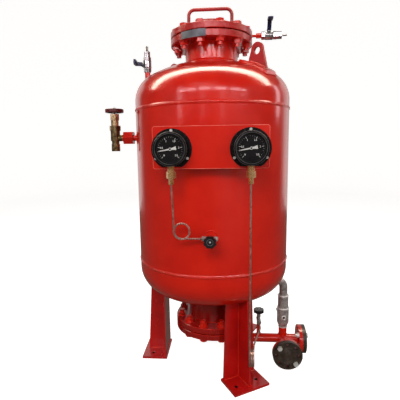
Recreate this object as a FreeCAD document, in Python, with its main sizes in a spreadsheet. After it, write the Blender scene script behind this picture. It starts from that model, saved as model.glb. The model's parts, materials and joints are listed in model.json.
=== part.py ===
"""Upright bladder pressure tank on three tee legs, with gauges, vents and pipework.

The tank axis is X = 0, Y = 0.  Z = 0 is the floor, the front faces -Y and +X is on the right.
All sizes are in millimetres.  Every driving size is one cell of the sheet "Sizes".
"""

import FreeCAD, Part
import Sketcher
import math
import operator
import os

Vector = FreeCAD.Vector
Rotation = FreeCAD.Rotation

DRIVING_SIZES = (
    # pressure shell
    ("shell_radius", 325), ("shell_wall", 6), ("barrel_length", 631),
    ("straight_flange", 35), ("crown_radius", 570), ("knuckle_radius", 112),
    ("weld_bead_width", 7), ("weld_bead_height", 2), ("weld_leg", 8), ("weld_gap", 0.3),
    # necks and flanges
    ("neck_radius", 109.5), ("neck_wall", 7), ("neck_inward", 12),
    ("top_neck_height", 62), ("bottom_neck_height", 84),
    ("flange_rim", 22.5), ("flange_thickness", 24), ("flange_edge", 2),
    ("cover_thickness", 24), ("joint_gap", 5), ("bolt_circle_out", 38), ("bolt_count", 12),
    ("bolt_radius", 10), ("bolt_hole_clearance", 1), ("bolt_head_corner", 17.3),
    ("bolt_head_height", 12.5), ("nut_height", 16), ("bolt_end", 12), ("thread_clearance", 0.1),
    ("neck_set_back", 6),
    # bladder and perforated pipe
    ("bladder_gap", 8), ("bladder_wall", 3), ("lip_clearance", 2.5), ("lip_thickness", 3),
    ("core_radius", 24), ("core_wall", 2.5), ("core_foot_radius", 25.5), ("core_foot_height", 8),
    ("core_hole_radius", 4), ("core_hole_pitch", 130), ("core_hole_rows", 8), ("core_top_gap", 10),
    # top cover boss and handle
    ("boss_radius", 77.5), ("boss_height", 39), ("boss_edge", 4), ("boss_root", 1), ("air_bore_radius", 8),
    ("handle_centre_x", -4), ("handle_width", 180), ("handle_rod_radius", 7),
    ("handle_height", 99.5), ("handle_bend", 24),
    ("strip_height", 27), ("strip_thickness", 1.2), ("strip_angle", 36), ("strip_azimuth", -113),
    # lifting lugs
    ("lug_azimuth", -40), ("lug_eye_radius", 14), ("lug_eye_in", 90), ("lug_eye_rise", 56.1),
    ("lug_round", 26), ("lug_crown_rise", 5), ("lug_thickness", 12),
    ("lug_base_in", 36), ("lug_base_out", 42), ("lug_pad_corner", 14),
    ("lug_pad_length", 122), ("lug_pad_width", 84), ("lug_pad_thickness", 8),
    # legs and feet
    ("leg_front_azimuth", -60), ("leg_left_azimuth", 180), ("leg_rear_azimuth", 60),
    ("leg_in", 107), ("leg_thickness", 8), ("leg_foot_half", 74), ("leg_head_half", 58),
    ("leg_foot_web", 82), ("leg_head_web", 56),
    ("foot_toe", 6), ("foot_length", 113), ("foot_half_width", 81), ("foot_thickness", 10),
    ("foot_hole_radius", 7), ("outer_foot_circle_in", 36), ("outer_foot_side", 51),
    ("inner_foot_circle_in", 42), ("inner_foot_side", 46),
    # gauge panel and gauges
    ("panel_stand_off", 41), ("panel_thickness", 5), ("panel_corner", 4),
    ("panel_over_screws", 14.2), ("panel_under_gauges", 7), ("panel_left_margin", 9.5),
    ("panel_right_margin", 7.5),
    ("bracket_spacing", 210), ("bracket_height", 96), ("bracket_thickness", 8),
    ("gauge_middle_x", 8.5), ("gauge_spacing", 267), ("gauge_rise", 470),
    ("gauge_flange_out", 14), ("gauge_flange_thickness", 3), ("gauge_flat_out", 4.5),
    ("gauge_case_radius", 55.5), ("gauge_case_wall", 2), ("gauge_depth", 40),
    ("bezel_wall", 1.5), ("bezel_cover", 6.5), ("bezel_depth", 6), ("bezel_lip", 2),
    ("lens_thickness", 2.5), ("dial_height", 31), ("dial_thickness", 1.2), ("dial_gap", 0.5),
    ("dial_bore", 2.5),
    ("pointer_lift", 3), ("pointer_thickness", 1), ("pointer_reach", 11.5), ("pointer_tail", 20),
    ("pointer_rest_angle", 10), ("pointer_hub_radius", 5), ("pointer_waist", 2.5),
    ("pointer_tip_length", 11), ("pointer_shoulder_half", 1.5), ("arbor_radius", 1.5),
    ("running_clearance", 0.05), ("movement_radius", 12),
    ("screw_circle_out", 7.3), ("screw_radius", 2.5), ("screw_head_radius", 4.6),
    ("screw_head_height", 2.6),
    ("gauge_axis_depth", 22), ("socket_radius", 12), ("socket_length", 19.5), ("socket_stem_radius", 7),
    ("socket_stem_length", 10), ("spigot_radius", 5), ("spigot_length", 6),
    ("union_corner", 16.4), ("union_length", 22), ("cone_nut_corner", 9.2), ("cone_nut_length", 21),
    # siphon tubes
    ("tube_radius", 3.175), ("coil_radius", 28), ("coil_pitch", 10), ("right_coil_pitch", 7),
    ("left_coil_out", 35), ("offset_top_rise", 138), ("offset_bottom_rise", 38), ("offset_bend", 60),
    ("right_coil_rise", 8), ("tube_rise", 30), ("tube_bend", 25), ("tube_lead", 46),
    # needle valves
    ("front_valve_x", 4), ("front_valve_rise", 154), ("front_valve_out", 25),
    ("stub_radius", 8.5), ("pad_radius", 23), ("pad_thickness", 8), ("valve_body_radius", 9),
    ("valve_body_half", 22), ("valve_inlet_length", 12), ("bonnet_radius", 7), ("bonnet_length", 30),
    ("gland_corner", 9.5), ("gland_length", 9), ("plug_corner", 8), ("plug_length", 5),
    ("spindle_radius", 3), ("knob_radius", 22.5), ("knob_thickness", 14), ("knob_lift", 7),
    ("scallop_radius", 6.5), ("scallop_distance", 26.5), ("scallop_count", 8), ("knob_hub_radius", 9),
    # vent and bleed ball valves
    ("vent_height", 12), ("vent_pipe_radius", 5.5), ("vent_pipe_out", 16), ("vent_pipe_in", 15),
    ("coupling_corner", 10.5), ("coupling_length", 22), ("vent_body_length", 62),
    ("bleed_in", 49), ("bleed_socket_radius", 11.6), ("bleed_socket_rise", 43.4),
    ("bleed_collar_radius", 12.6), ("bleed_collar_height", 5), ("bleed_body_length", 59),
    ("ball_housing_radius", 17.5), ("ball_radius", 10.5), ("ball_bore", 5), ("ball_clearance", 0.3),
    ("port_bore", 5),
    ("valve_hex_corner", 16.5), ("valve_hex_length", 13), ("stem_radius", 4), ("stem_boss_radius", 8),
    ("stem_boss_height", 19), ("stem_sunk", 2.1), ("lever_width", 17), ("lever_thickness", 3),
    ("grip_width", 20), ("grip_thickness", 9), ("grip_corner", 4),
    ("lever_reach", 60), ("vent_lever_rise", 30), ("bleed_lever_rise", 20), ("lever_back", 9),
    ("vent_hex_corner", 15.5), ("vent_hex_length", 21.5), ("vent_barb_radius", 4.5),
    ("bleed_hex_corner", 13), ("bleed_hex_length", 23), ("bleed_barb_radius", 7),
    ("barb_length", 21.5), ("barb_ridge", 0.8), ("barb_count", 4), ("barb_bore", 2.5),
    # side branch and brass angle valve
    ("branch_rise", 522.5), ("branch_stub_radius", 13), ("branch_pad_radius", 25),
    ("branch_pad_out", 6), ("branch_coupling_start", 22), ("branch_coupling_corner", 30),
    ("branch_coupling_length", 43), ("angle_arm_length", 40), ("angle_arm_radius", 14),
    ("angle_body_radius", 20.7), ("angle_body_below", 12.5), ("angle_body_above", 32.5),
    ("angle_cavity_radius", 15), ("angle_seat_radius", 8), ("angle_neck_radius", 16.5),
    ("angle_neck_length", 13), ("angle_outlet_radius", 18.5), ("angle_outlet_length", 32),
    ("union_hex_corner", 25), ("union_hex_height", 21), ("angle_bonnet_radius", 17),
    ("angle_bonnet_height", 25), ("packing_nut_corner", 20), ("packing_nut_height", 26),
    ("angle_stem_radius", 3.5), ("handwheel_lift", 6), ("handwheel_radius", 40),
    ("handwheel_rim", 7.5), ("handwheel_edge", 2.5), ("handwheel_hub", 10), ("handwheel_web", 6),
    ("handwheel_windows", 5), ("window_radius", 8.1),
    ("disc_radius", 11), ("disc_thickness", 7), ("disc_bush_height", 9), ("disc_bush_radius", 7),
    ("seat_clearance", 0.2),
    # bottom outlet manifold
    ("manifold_y", -45), ("manifold_height", 97), ("manifold_radius", 19), ("manifold_wall", 3),
    ("cover_drop", 46.5), ("elbow_bend", 38), ("tee_in", 12), ("right_reach", 97), ("front_reach", 144),
    ("branch_flange_radius", 61), ("branch_flange_thickness", 14), ("blank_thickness", 16),
    ("branch_bolt_circle", 47), ("branch_hole_count", 8), ("branch_hole_radius", 7),
    ("branch_bolt_radius", 6), ("branch_head_corner", 10.4), ("branch_head_height", 7.5),
    ("branch_nut_height", 10), ("branch_bolt_end", 6), ("branch_bolt_angle", 135), ("branch_set_back", 3),
    ("riser_radius", 17.5), ("riser_length", 58), ("lower_valve_in", 107.5), ("lower_stub_length", 73),
    # check valve column
    ("column_ring", 6), ("column_radius", 25.5), ("column_taper", 16), ("column_length", 90),
    ("column_port_rise", 51), ("column_port_radius", 4.5), ("column_port_depth", 7),
    ("column_nub_rise", 79), ("column_nub_radius", 5.5), ("column_nub_out", 5),
    ("column_band", 4), ("column_band_out", 1), ("middle_radius", 22.5), ("middle_length", 58),
    ("nipple_radius", 17.5), ("nipple_drop", 141), ("nipple_bend", 34), ("nipple_turn", 60),
    ("nipple_run", 30), ("column_bore", 14), ("column_passage", 8), ("seat_rise", 29),
    ("poppet_radius", 12.5),
    ("poppet_height", 8), ("poppet_stem_radius", 3), ("poppet_stem_length", 20),
    ("spring_radius", 8), ("spring_wire", 1), ("spring_length", 42), ("spring_turns", 6),
    ("spring_end_gap", 0.3),
)

doc = FreeCAD.newDocument("PressureTank")
sheet = doc.addObject("Spreadsheet::Sheet", "Sizes")
for row, (alias, number) in enumerate(DRIVING_SIZES, 1):
    sheet.set(f"A{row}", alias)
    sheet.set(f"B{row}", str(number))
    sheet.setAlias(f"B{row}", alias)
doc.recompute()


# ---- sizes that carry their sheet formula ----------------------------------------------

OPERATIONS = {"+": operator.add, "-": operator.sub, "*": operator.mul, "/": operator.truediv}


class Size:
    """A number together with the sheet formula that gives it."""

    def __init__(self, formula, number):
        self.formula = formula
        self.number = float(number)

    def __add__(self, other):
        return combine(self, "+", other)

    def __radd__(self, other):
        return combine(other, "+", self)

    def __sub__(self, other):
        return combine(self, "-", other)

    def __rsub__(self, other):
        return combine(other, "-", self)

    def __mul__(self, other):
        return combine(self, "*", other)

    def __rmul__(self, other):
        return combine(other, "*", self)

    def __truediv__(self, other):
        return combine(self, "/", other)

    def __rtruediv__(self, other):
        return combine(other, "/", self)

    def __neg__(self):
        return combine(0, "-", self)


def as_size(value):
    """Give a plain number the form of a size."""
    if isinstance(value, Size):
        return value
    return Size(f"({float(value):.9g})", value)


def combine(left, sign, right):
    """Join two sizes, as a formula and as a number."""
    left = as_size(left)
    right = as_size(right)
    return Size(f"({left.formula} {sign} {right.formula})", OPERATIONS[sign](left.number, right.number))


def root(value):
    value = as_size(value)
    return Size(f"sqrt({value.formula})", math.sqrt(value.number))


def cosine(degrees):
    degrees = as_size(degrees)
    return Size(f"cos({degrees.formula})", math.cos(math.radians(degrees.number)))


def sine(degrees):
    degrees = as_size(degrees)
    return Size(f"sin({degrees.formula})", math.sin(math.radians(degrees.number)))


class SheetSizes:
    """Reads a cell of the sheet by its alias: size.shell_radius."""

    def __getattr__(self, alias):
        return Size("Sizes." + alias, getattr(sheet, alias))


size = SheetSizes()


# ---- drawing and modelling helpers -----------------------------------------------------

UP = Rotation()
DOWN = Rotation(Vector(1, 0, 0), 180)
FRONT = Rotation(Vector(1, 0, 0), 90)  # local Z to -Y, local X and Y as seen from the front
RIGHT = Rotation(Vector(0, 1, 0), Vector(0, 0, 1), Vector(1, 0, 0), "ZXY")  # local Z to +X
ALONG_RIGHT = Rotation(Vector(0, 0, 1), Vector(0, -1, 0), Vector(1, 0, 0), "ZXY")
TURNED_BACK = Rotation(Vector(0, 0, 1), 180)


def bind(thing, name, value):
    """Tie one property to its sheet formula."""
    thing.setExpression(name, as_size(value).formula)


def place(thing, x=0, y=0, z=0, turn=UP, azimuth=None):
    """Put a body or a primitive where its sizes say; azimuth turns it about the tank axis."""
    spot = [as_size(value) for value in (x, y, z)]
    thing.Placement = FreeCAD.Placement(Vector(*[value.number for value in spot]), turn)
    for letter, value in zip("xyz", spot):
        bind(thing, f"Placement.Base.{letter}", value)
    if azimuth is not None:
        thing.Placement = FreeCAD.Placement(thing.Placement.Base, Rotation(Vector(0, 0, 1), 1))
        bind(thing, "Placement.Rotation.Angle", azimuth)
    return thing


def new_body(name, x=0, y=0, z=0, turn=UP, azimuth=None):
    body = doc.addObject("PartDesign::Body", name)
    body.Label = name
    body.AllowCompound = True
    return place(body, x, y, z, turn, azimuth)


def origin_part(body, role):
    return [part for part in body.Origin.OriginFeatures if part.Role == role][0]


def new_sketch(body, role="XY_Plane", lift=0):
    """A sketch on one of the body's own origin planes, lifted along that plane's normal."""
    sketch = body.newObject("Sketcher::SketchObject", "Sketch")
    sketch.AttachmentSupport = [(origin_part(body, role), "")]
    sketch.MapMode = "FlatFace"
    bind(sketch, "AttachmentOffset.Base.z", lift)
    return sketch


def fix_point(sketch, geometry, end, x, y):
    """Tie one end of a line or arc to its place."""
    for kind, value in (("DistanceX", x), ("DistanceY", y)):
        value = as_size(value)
        index = sketch.addConstraint(Sketcher.Constraint(kind, -1, 1, geometry, end, value.number))
        bind(sketch, f"Constraints[{index}]", value)


def draw(sketch, corners, closed=True):
    """An outline.  A corner is (x, y), or (x, y, radius) to reach it by an arc.

    A positive radius turns left on the way to the corner, a negative one turns right.
    """
    points = [tuple(as_size(value) for value in corner) for corner in corners]
    following = points[1:] + points[:1] if closed else points[1:]
    ends = []
    for here, there in zip(points, following):
        start = Vector(here[0].number, here[1].number, 0)
        finish = Vector(there[0].number, there[1].number, 0)
        if len(there) == 2:
            index = sketch.addGeometry(Part.LineSegment(start, finish))
            ends.append((index, 1, 2))
            continue
        radius = there[2].number
        across = finish - start
        side = Vector(-across.y, across.x, 0).normalize() * math.copysign(1, radius)
        centre = start + across * 0.5 + side * math.sqrt(max(radius**2 - (across.Length / 2) ** 2, 0))
        first, last = (start, finish) if radius > 0 else (finish, start)
        ring = Part.Circle(centre, Vector(0, 0, 1), abs(radius))
        angles = [math.atan2(point.y - centre.y, point.x - centre.x) for point in (first, last)]
        index = sketch.addGeometry(Part.ArcOfCircle(ring, *angles))
        ends.append((index, 1, 2) if radius > 0 else (index, 2, 1))
        constraint = sketch.addConstraint(Sketcher.Constraint("Radius", index, abs(radius)))
        bind(sketch, f"Constraints[{constraint}]", there[2] if radius > 0 else -there[2])
    for (index, start, finish), point in zip(ends, points):
        fix_point(sketch, index, start, point[0], point[1])
    joints = list(zip(ends, ends[1:] + ends[:1])) if closed else list(zip(ends, ends[1:]))
    for (index, start, finish), (next_index, next_start, next_finish) in joints:
        sketch.addConstraint(Sketcher.Constraint("Coincident", index, finish, next_index, next_start))
    if not closed:
        fix_point(sketch, ends[-1][0], ends[-1][2], points[-1][0], points[-1][1])
    return sketch


def circle(sketch, x, y, radius):
    """A circle tied by its centre and radius."""
    x, y, radius = (as_size(value) for value in (x, y, radius))
    index = sketch.addGeometry(Part.Circle(Vector(x.number, y.number, 0), Vector(0, 0, 1), radius.number))
    fix_point(sketch, index, 3, x, y)
    constraint = sketch.addConstraint(Sketcher.Constraint("Radius", index, radius.number))
    bind(sketch, f"Constraints[{constraint}]", radius)
    return sketch


def hexagon(sketch, x, y, corner):
    """A regular hexagon; corner is the distance from its centre to a corner."""
    turns = [60 * step for step in range(6)]
    return draw(sketch, [(x + corner * cosine(turn), y + corner * sine(turn)) for turn in turns])


def rounded_box(sketch, left, bottom, right, top, corner):
    """A rectangle with four equal rounded corners."""
    return draw(sketch, [
        (left + corner, bottom, corner), (right - corner, bottom), (right, bottom + corner, corner),
        (right, top - corner), (right - corner, top, corner), (left + corner, top),
        (left, top - corner, corner), (left, bottom + corner),
    ])


def box(sketch, left, bottom, right, top):
    return draw(sketch, [(left, bottom), (right, bottom), (right, top), (left, top)])


def pad(body, sketch, length, middle=False, flip=False):
    feature = body.newObject("PartDesign::Pad", "Pad")
    feature.Profile = sketch
    bind(feature, "Length", length)
    if middle:
        feature.SideType = "Symmetric"
    feature.Reversed = flip
    doc.recompute()
    return feature


def must_cut(body, before):
    """A cut that points away from the solid shows no error, so the volume is compared."""
    if not body.Shape.Volume < before - 1e-3:
        raise ValueError(f"a cut in {body.Label} removes nothing")


def pocket(body, sketch, length, middle=False, flip=False):
    """Cuts against the sketch's normal, or along it when flipped."""
    before = body.Shape.Volume
    feature = body.newObject("PartDesign::Pocket", "Pocket")
    feature.Profile = sketch
    bind(feature, "Length", length)
    if middle:
        feature.SideType = "Symmetric"
    feature.Reversed = flip
    doc.recompute()
    must_cut(body, before)
    return feature


def revolve(body, sketch, axis="V_Axis", angle=360):
    feature = body.newObject("PartDesign::Revolution", "Revolution")
    feature.Profile = sketch
    feature.ReferenceAxis = (sketch, [axis])
    bind(feature, "Angle", angle)
    feature.Midplane = angle != 360
    doc.recompute()
    return feature


def groove(body, sketch, axis="V_Axis"):
    before = body.Shape.Volume
    feature = body.newObject("PartDesign::Groove", "Groove")
    feature.Profile = sketch
    feature.ReferenceAxis = (sketch, [axis])
    feature.Angle = 360
    doc.recompute()
    must_cut(body, before)
    return feature


def polar(body, feature, count):
    """Repeat a feature evenly round the body's Z axis."""
    pattern = body.newObject("PartDesign::PolarPattern", "Pattern")
    pattern.Originals = [feature]
    pattern.Axis = (origin_part(body, "Z_Axis"), [""])
    pattern.Angle = 360
    bind(pattern, "Occurrences", count)
    body.Tip = pattern
    doc.recompute()
    return pattern


def spun(name, corners, **where):
    """A body turned from one outline of (distance from the axis, height) corners."""
    body = new_body(name, **where)
    revolve(body, draw(new_sketch(body, "XZ_Plane"), corners))
    return body


def sweep(body, kind, corners, radius, lift=0):
    """A round section along an open path in the body's XZ plane, added or taken away."""
    path = draw(new_sketch(body, "XZ_Plane"), corners, closed=False)
    section = circle(new_sketch(body, lift=lift), corners[0][0], 0, radius)
    doc.recompute()
    feature = body.newObject(kind, "Sweep")
    feature.Profile = section
    feature.Spine = (path, [f"Edge{number}" for number in range(1, len(corners))])
    doc.recompute()
    return feature


def group(name, members):
    """Separate solids that share one name."""
    compound = doc.addObject("Part::Compound", name)
    compound.Label = name
    compound.Links = members
    doc.recompute()
    return compound


# ---- the dished heads, shared by all that seats on them -------------------------------

KNUCKLE_CENTRE = size.shell_radius - size.knuckle_radius
CROWN_TO_KNUCKLE = size.crown_radius - size.knuckle_radius
CROWN_CENTRE = size.straight_flange - root(
    CROWN_TO_KNUCKLE * CROWN_TO_KNUCKLE - KNUCKLE_CENTRE * KNUCKLE_CENTRE
)
CROWN_TOP = CROWN_CENTRE + size.crown_radius
COVER_STACK = size.flange_thickness + size.joint_gap + size.cover_thickness
LOWER_SEAM = size.manifold_height + size.cover_drop + COVER_STACK + size.bottom_neck_height + CROWN_TOP
UPPER_SEAM = LOWER_SEAM + size.barrel_length


def crown_height(distance, out=0):
    """Height above the seam of the crown surface, moved outward by out."""
    radius = size.crown_radius + out
    return CROWN_CENTRE + root(radius * radius - distance * distance)


def knuckle_height(distance, out=0):
    """Height above the seam of the knuckle surface, moved outward by out."""
    radius = size.knuckle_radius + out
    beyond = distance - KNUCKLE_CENTRE
    return size.straight_flange + root(radius * radius - beyond * beyond)


def crown_edge(out=0):
    """Where the crown meets the knuckle."""
    radius = size.crown_radius + out
    share = radius / CROWN_TO_KNUCKLE
    return KNUCKLE_CENTRE * share, CROWN_CENTRE + (size.straight_flange - CROWN_CENTRE) * share


def dome_corners(seam, way, out=0):
    """From the seam over knuckle and crown to the axis; way is 1 upward and -1 downward."""
    edge_x, edge_z = crown_edge(out)
    return [
        (size.shell_radius + out, seam),
        (size.shell_radius + out, seam + way * size.straight_flange),
        (edge_x, seam + way * edge_z, way * (size.knuckle_radius + out)),
        (0, seam + way * (CROWN_TOP + out), way * (size.crown_radius + out)),
    ]


def inside_dome(body, seam, way, out):
    """Outline of all that lies under a head's surface."""
    return draw(new_sketch(body, "XZ_Plane"), [(0, seam)] + dome_corners(seam, way, out))


# ---- the two flanged ends: heights above a seam, alike at top and bottom ---------------

ENDS = {
    "top": {"seam": UPPER_SEAM, "turn": UP, "neck": size.top_neck_height},
    "bottom": {"seam": LOWER_SEAM, "turn": DOWN, "neck": size.bottom_neck_height},
}
for end in ENDS.values():
    end["flange_in"] = CROWN_TOP + end["neck"]
    end["flange_out"] = end["flange_in"] + size.flange_thickness
    end["cover_in"] = end["flange_out"] + size.joint_gap
    end["cover_out"] = end["cover_in"] + size.cover_thickness
TOP_COVER_IN = UPPER_SEAM + ENDS["top"]["cover_in"]
TOP_COVER_OUT = UPPER_SEAM + ENDS["top"]["cover_out"]
BOTTOM_COVER_IN = LOWER_SEAM - ENDS["bottom"]["cover_in"]
FLANGE_BORE = size.neck_radius + size.weld_gap
NECK_BORE = size.neck_radius - size.neck_wall
BOLT_CIRCLE = size.neck_radius + size.bolt_circle_out
FLANGE_RADIUS = BOLT_CIRCLE + size.flange_rim
HALF_STEP = 180 / size.bolt_count
BOLT_X = BOLT_CIRCLE * cosine(HALF_STEP)
BOLT_Y = BOLT_CIRCLE * sine(HALF_STEP)
BOLT_HOLE = size.bolt_radius + size.bolt_hole_clearance
LIP_RADIUS = BOLT_CIRCLE - BOLT_HOLE - size.lip_clearance
FRONT_VALVE_Z = LOWER_SEAM + size.front_valve_rise
BRANCH_Z = LOWER_SEAM + size.branch_rise
BLEED_X = size.shell_radius - size.bleed_in
BLEED_TOP = UPPER_SEAM + knuckle_height(BLEED_X) + size.bleed_socket_rise


def at_end(end):
    return {"z": ENDS[end]["seam"], "turn": ENDS[end]["turn"]}


def shell_barrel():
    """Rolled barrel with half a weld bead at each seam and two welded-in ports."""
    inner = size.shell_radius - size.shell_wall
    crest = size.shell_radius + size.weld_bead_height
    bead = (size.weld_bead_width * size.weld_bead_width + size.weld_bead_height * size.weld_bead_height) / (
        2 * size.weld_bead_height
    )
    body = spun("shell_barrel", [
        (inner, 0), (crest, 0), (size.shell_radius, size.weld_bead_width, bead),
        (size.shell_radius, size.barrel_length - size.weld_bead_width),
        (crest, size.barrel_length, bead), (inner, size.barrel_length),
    ], z=LOWER_SEAM)
    front = circle(
        new_sketch(body, "XZ_Plane"), size.front_valve_x, FRONT_VALVE_Z - LOWER_SEAM,
        size.stub_radius + size.weld_gap,
    )
    pocket(body, front, size.shell_radius + size.shell_wall, flip=True)
    left = circle(
        new_sketch(body, "YZ_Plane"), 0, BRANCH_Z - LOWER_SEAM,
        size.branch_stub_radius + size.weld_gap,
    )
    pocket(body, left, size.shell_radius + size.shell_wall)
    return body


def head(name, end):
    """Dished head: straight flange, knuckle and crown, with the neck's opening."""
    wall = size.shell_wall
    crest = size.shell_radius + size.weld_bead_height
    bead = (size.weld_bead_width * size.weld_bead_width + size.weld_bead_height * size.weld_bead_height) / (
        2 * size.weld_bead_height
    )
    out_x, out_z = crown_edge()
    in_x, in_z = crown_edge(-wall)
    body = spun(name, [
        (size.shell_radius - wall, 0), (crest, 0), (size.shell_radius, size.weld_bead_width, bead),
        (size.shell_radius, size.straight_flange), (out_x, out_z, size.knuckle_radius),
        (FLANGE_BORE, crown_height(FLANGE_BORE), size.crown_radius),
        (FLANGE_BORE, crown_height(FLANGE_BORE, -wall)),
        (in_x, in_z, wall - size.crown_radius),
        (size.shell_radius - wall, size.straight_flange, wall - size.knuckle_radius),
    ], **at_end(end))
    if end == "top":
        port = circle(new_sketch(body, lift=CROWN_TOP), -BLEED_X, 0, size.port_bore)
        pocket(body, port, CROWN_TOP)
    return body


def neck(name, end):
    """Tube neck set through its head, with the fillet weld round its foot."""
    outer = size.neck_radius
    toe = outer + size.weld_leg
    inner_end = crown_height(outer) - size.neck_inward
    outer_end = ENDS[end]["flange_out"] - size.neck_set_back
    return spun(name, [
        (NECK_BORE, inner_end), (outer, inner_end), (outer, crown_height(outer, size.weld_gap)),
        (toe, crown_height(toe, size.weld_gap)), (outer, crown_height(outer) + size.weld_leg),
        (outer, outer_end), (NECK_BORE, outer_end),
    ], **at_end(end))


def bolt_holes(body, height, depth):
    """The ring of bolt holes, cut down from height."""
    hole = circle(new_sketch(body, lift=height), BOLT_X, BOLT_Y, BOLT_HOLE)
    polar(body, pocket(body, hole, depth), size.bolt_count)


def flange(name, end):
    low = ENDS[end]["flange_in"]
    high = ENDS[end]["flange_out"]
    edge = size.flange_edge
    body = spun(name, [
        (FLANGE_BORE, low), (FLANGE_RADIUS - edge, low), (FLANGE_RADIUS, low + edge),
        (FLANGE_RADIUS, high - edge), (FLANGE_RADIUS - edge, high), (FLANGE_BORE, high),
    ], **at_end(end))
    bolt_holes(body, high, size.flange_thickness)
    return body


def flange_gaskets():
    """A ring between each bladder lip and its cover."""
    rings = []
    for end in ENDS:
        low = ENDS[end]["flange_out"] + size.lip_thickness
        high = ENDS[end]["cover_in"]
        rings.append(spun(f"{end}_gasket", [
            (NECK_BORE, low), (LIP_RADIUS, low), (LIP_RADIUS, high),
            (NECK_BORE, high),
        ], **at_end(end)))
    return group("flange_gaskets", rings)


def top_cover():
    """Blind cover with its raised boss, drilled for the vent."""
    low = ENDS["top"]["cover_in"]
    high = ENDS["top"]["cover_out"]
    edge = size.flange_edge
    summit = high + size.boss_height
    body = spun("top_cover", [
        (0, low), (FLANGE_RADIUS - edge, low), (FLANGE_RADIUS, low + edge),
        (FLANGE_RADIUS, high - edge), (FLANGE_RADIUS - edge, high),
        (size.boss_radius + size.boss_root, high),
        (size.boss_radius, high + size.boss_root, -size.boss_root),
        (size.boss_radius, summit - size.boss_edge),
        (size.boss_radius - size.boss_edge, summit, size.boss_edge), (0, summit),
    ], **at_end("top"))
    bolt_holes(body, high, size.cover_thickness)
    vent = low + size.vent_height
    centre = circle(new_sketch(body, lift=low), 0, 0, size.air_bore_radius)
    pocket(body, centre, size.vent_height, flip=True)
    passage = circle(new_sketch(body, "YZ_Plane"), 0, vent, size.barb_bore)
    pocket(body, passage, FLANGE_RADIUS, flip=True)
    socket = circle(
        new_sketch(body, "YZ_Plane", FLANGE_RADIUS - size.vent_pipe_in), 0, vent,
        size.vent_pipe_radius + size.thread_clearance,
    )
    pocket(body, socket, size.vent_pipe_in, flip=True)
    return body


def bottom_cover():
    """Plain cover with the outlet's opening."""
    low = ENDS["bottom"]["cover_in"]
    high = ENDS["bottom"]["cover_out"]
    edge = size.flange_edge
    body = spun("bottom_cover", [
        (0, low), (FLANGE_RADIUS - edge, low), (FLANGE_RADIUS, low + edge),
        (FLANGE_RADIUS, high - edge), (FLANGE_RADIUS - edge, high), (0, high),
    ], **at_end("bottom"))
    bolt_holes(body, high, size.cover_thickness)
    outlet = circle(new_sketch(body, lift=high), 0, -size.manifold_y, size.manifold_radius + size.weld_gap)
    pocket(body, outlet, size.cover_thickness)
    return body


def flange_bolts():
    """Hexagon bolts, heads on the covers."""
    rings = []
    for end in ENDS:
        top = ENDS[end]["cover_out"]
        tail = ENDS[end]["flange_in"] - size.nut_height - size.bolt_end
        body = new_body(f"{end}_bolts", **at_end(end))
        hexagons = hexagon(new_sketch(body, lift=top), BOLT_X, BOLT_Y, size.bolt_head_corner)
        heads = pad(body, hexagons, size.bolt_head_height)
        rounds = circle(new_sketch(body, lift=tail), BOLT_X, BOLT_Y, size.bolt_radius)
        shanks = pad(body, rounds, top - tail)
        pattern = polar(body, heads, size.bolt_count)
        pattern.Originals = [heads, shanks]
        doc.recompute()
        rings.append(body)
    return group("flange_bolts", rings)


def flange_nuts():
    rings = []
    for end in ENDS:
        low = ENDS[end]["flange_in"] - size.nut_height
        body = new_body(f"{end}_nuts", **at_end(end))
        sketch = hexagon(new_sketch(body, lift=low), BOLT_X, BOLT_Y, size.bolt_head_corner)
        circle(sketch, BOLT_X, BOLT_Y, size.bolt_radius + size.thread_clearance)
        polar(body, pad(body, sketch, size.nut_height), size.bolt_count)
        rings.append(body)
    return group("flange_nuts", rings)


def blank_strip():
    """Thin bare strip bent round the top flange's rim."""
    inner = FLANGE_RADIUS + size.weld_gap
    middle = UPPER_SEAM + ENDS["top"]["flange_in"] + size.flange_thickness / 2
    body = new_body("blank_strip", azimuth=size.strip_azimuth)
    sketch = box(
        new_sketch(body, "XZ_Plane"), inner, middle - size.strip_height / 2,
        inner + size.strip_thickness, middle + size.strip_height / 2,
    )
    revolve(body, sketch, angle=size.strip_angle)
    return body


def cover_handle():
    """Bent rod handle standing on the top cover."""
    left = size.handle_centre_x - size.handle_width / 2
    right = size.handle_centre_x + size.handle_width / 2
    bend = size.handle_bend
    body = new_body("cover_handle", z=TOP_COVER_OUT)
    sweep(body, "PartDesign::AdditivePipe", [
        (left, 0), (left, size.handle_height - bend), (left + bend, size.handle_height, -bend),
        (right - bend, size.handle_height), (right, size.handle_height - bend, -bend), (right, 0),
    ], size.handle_rod_radius)
    return body


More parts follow.
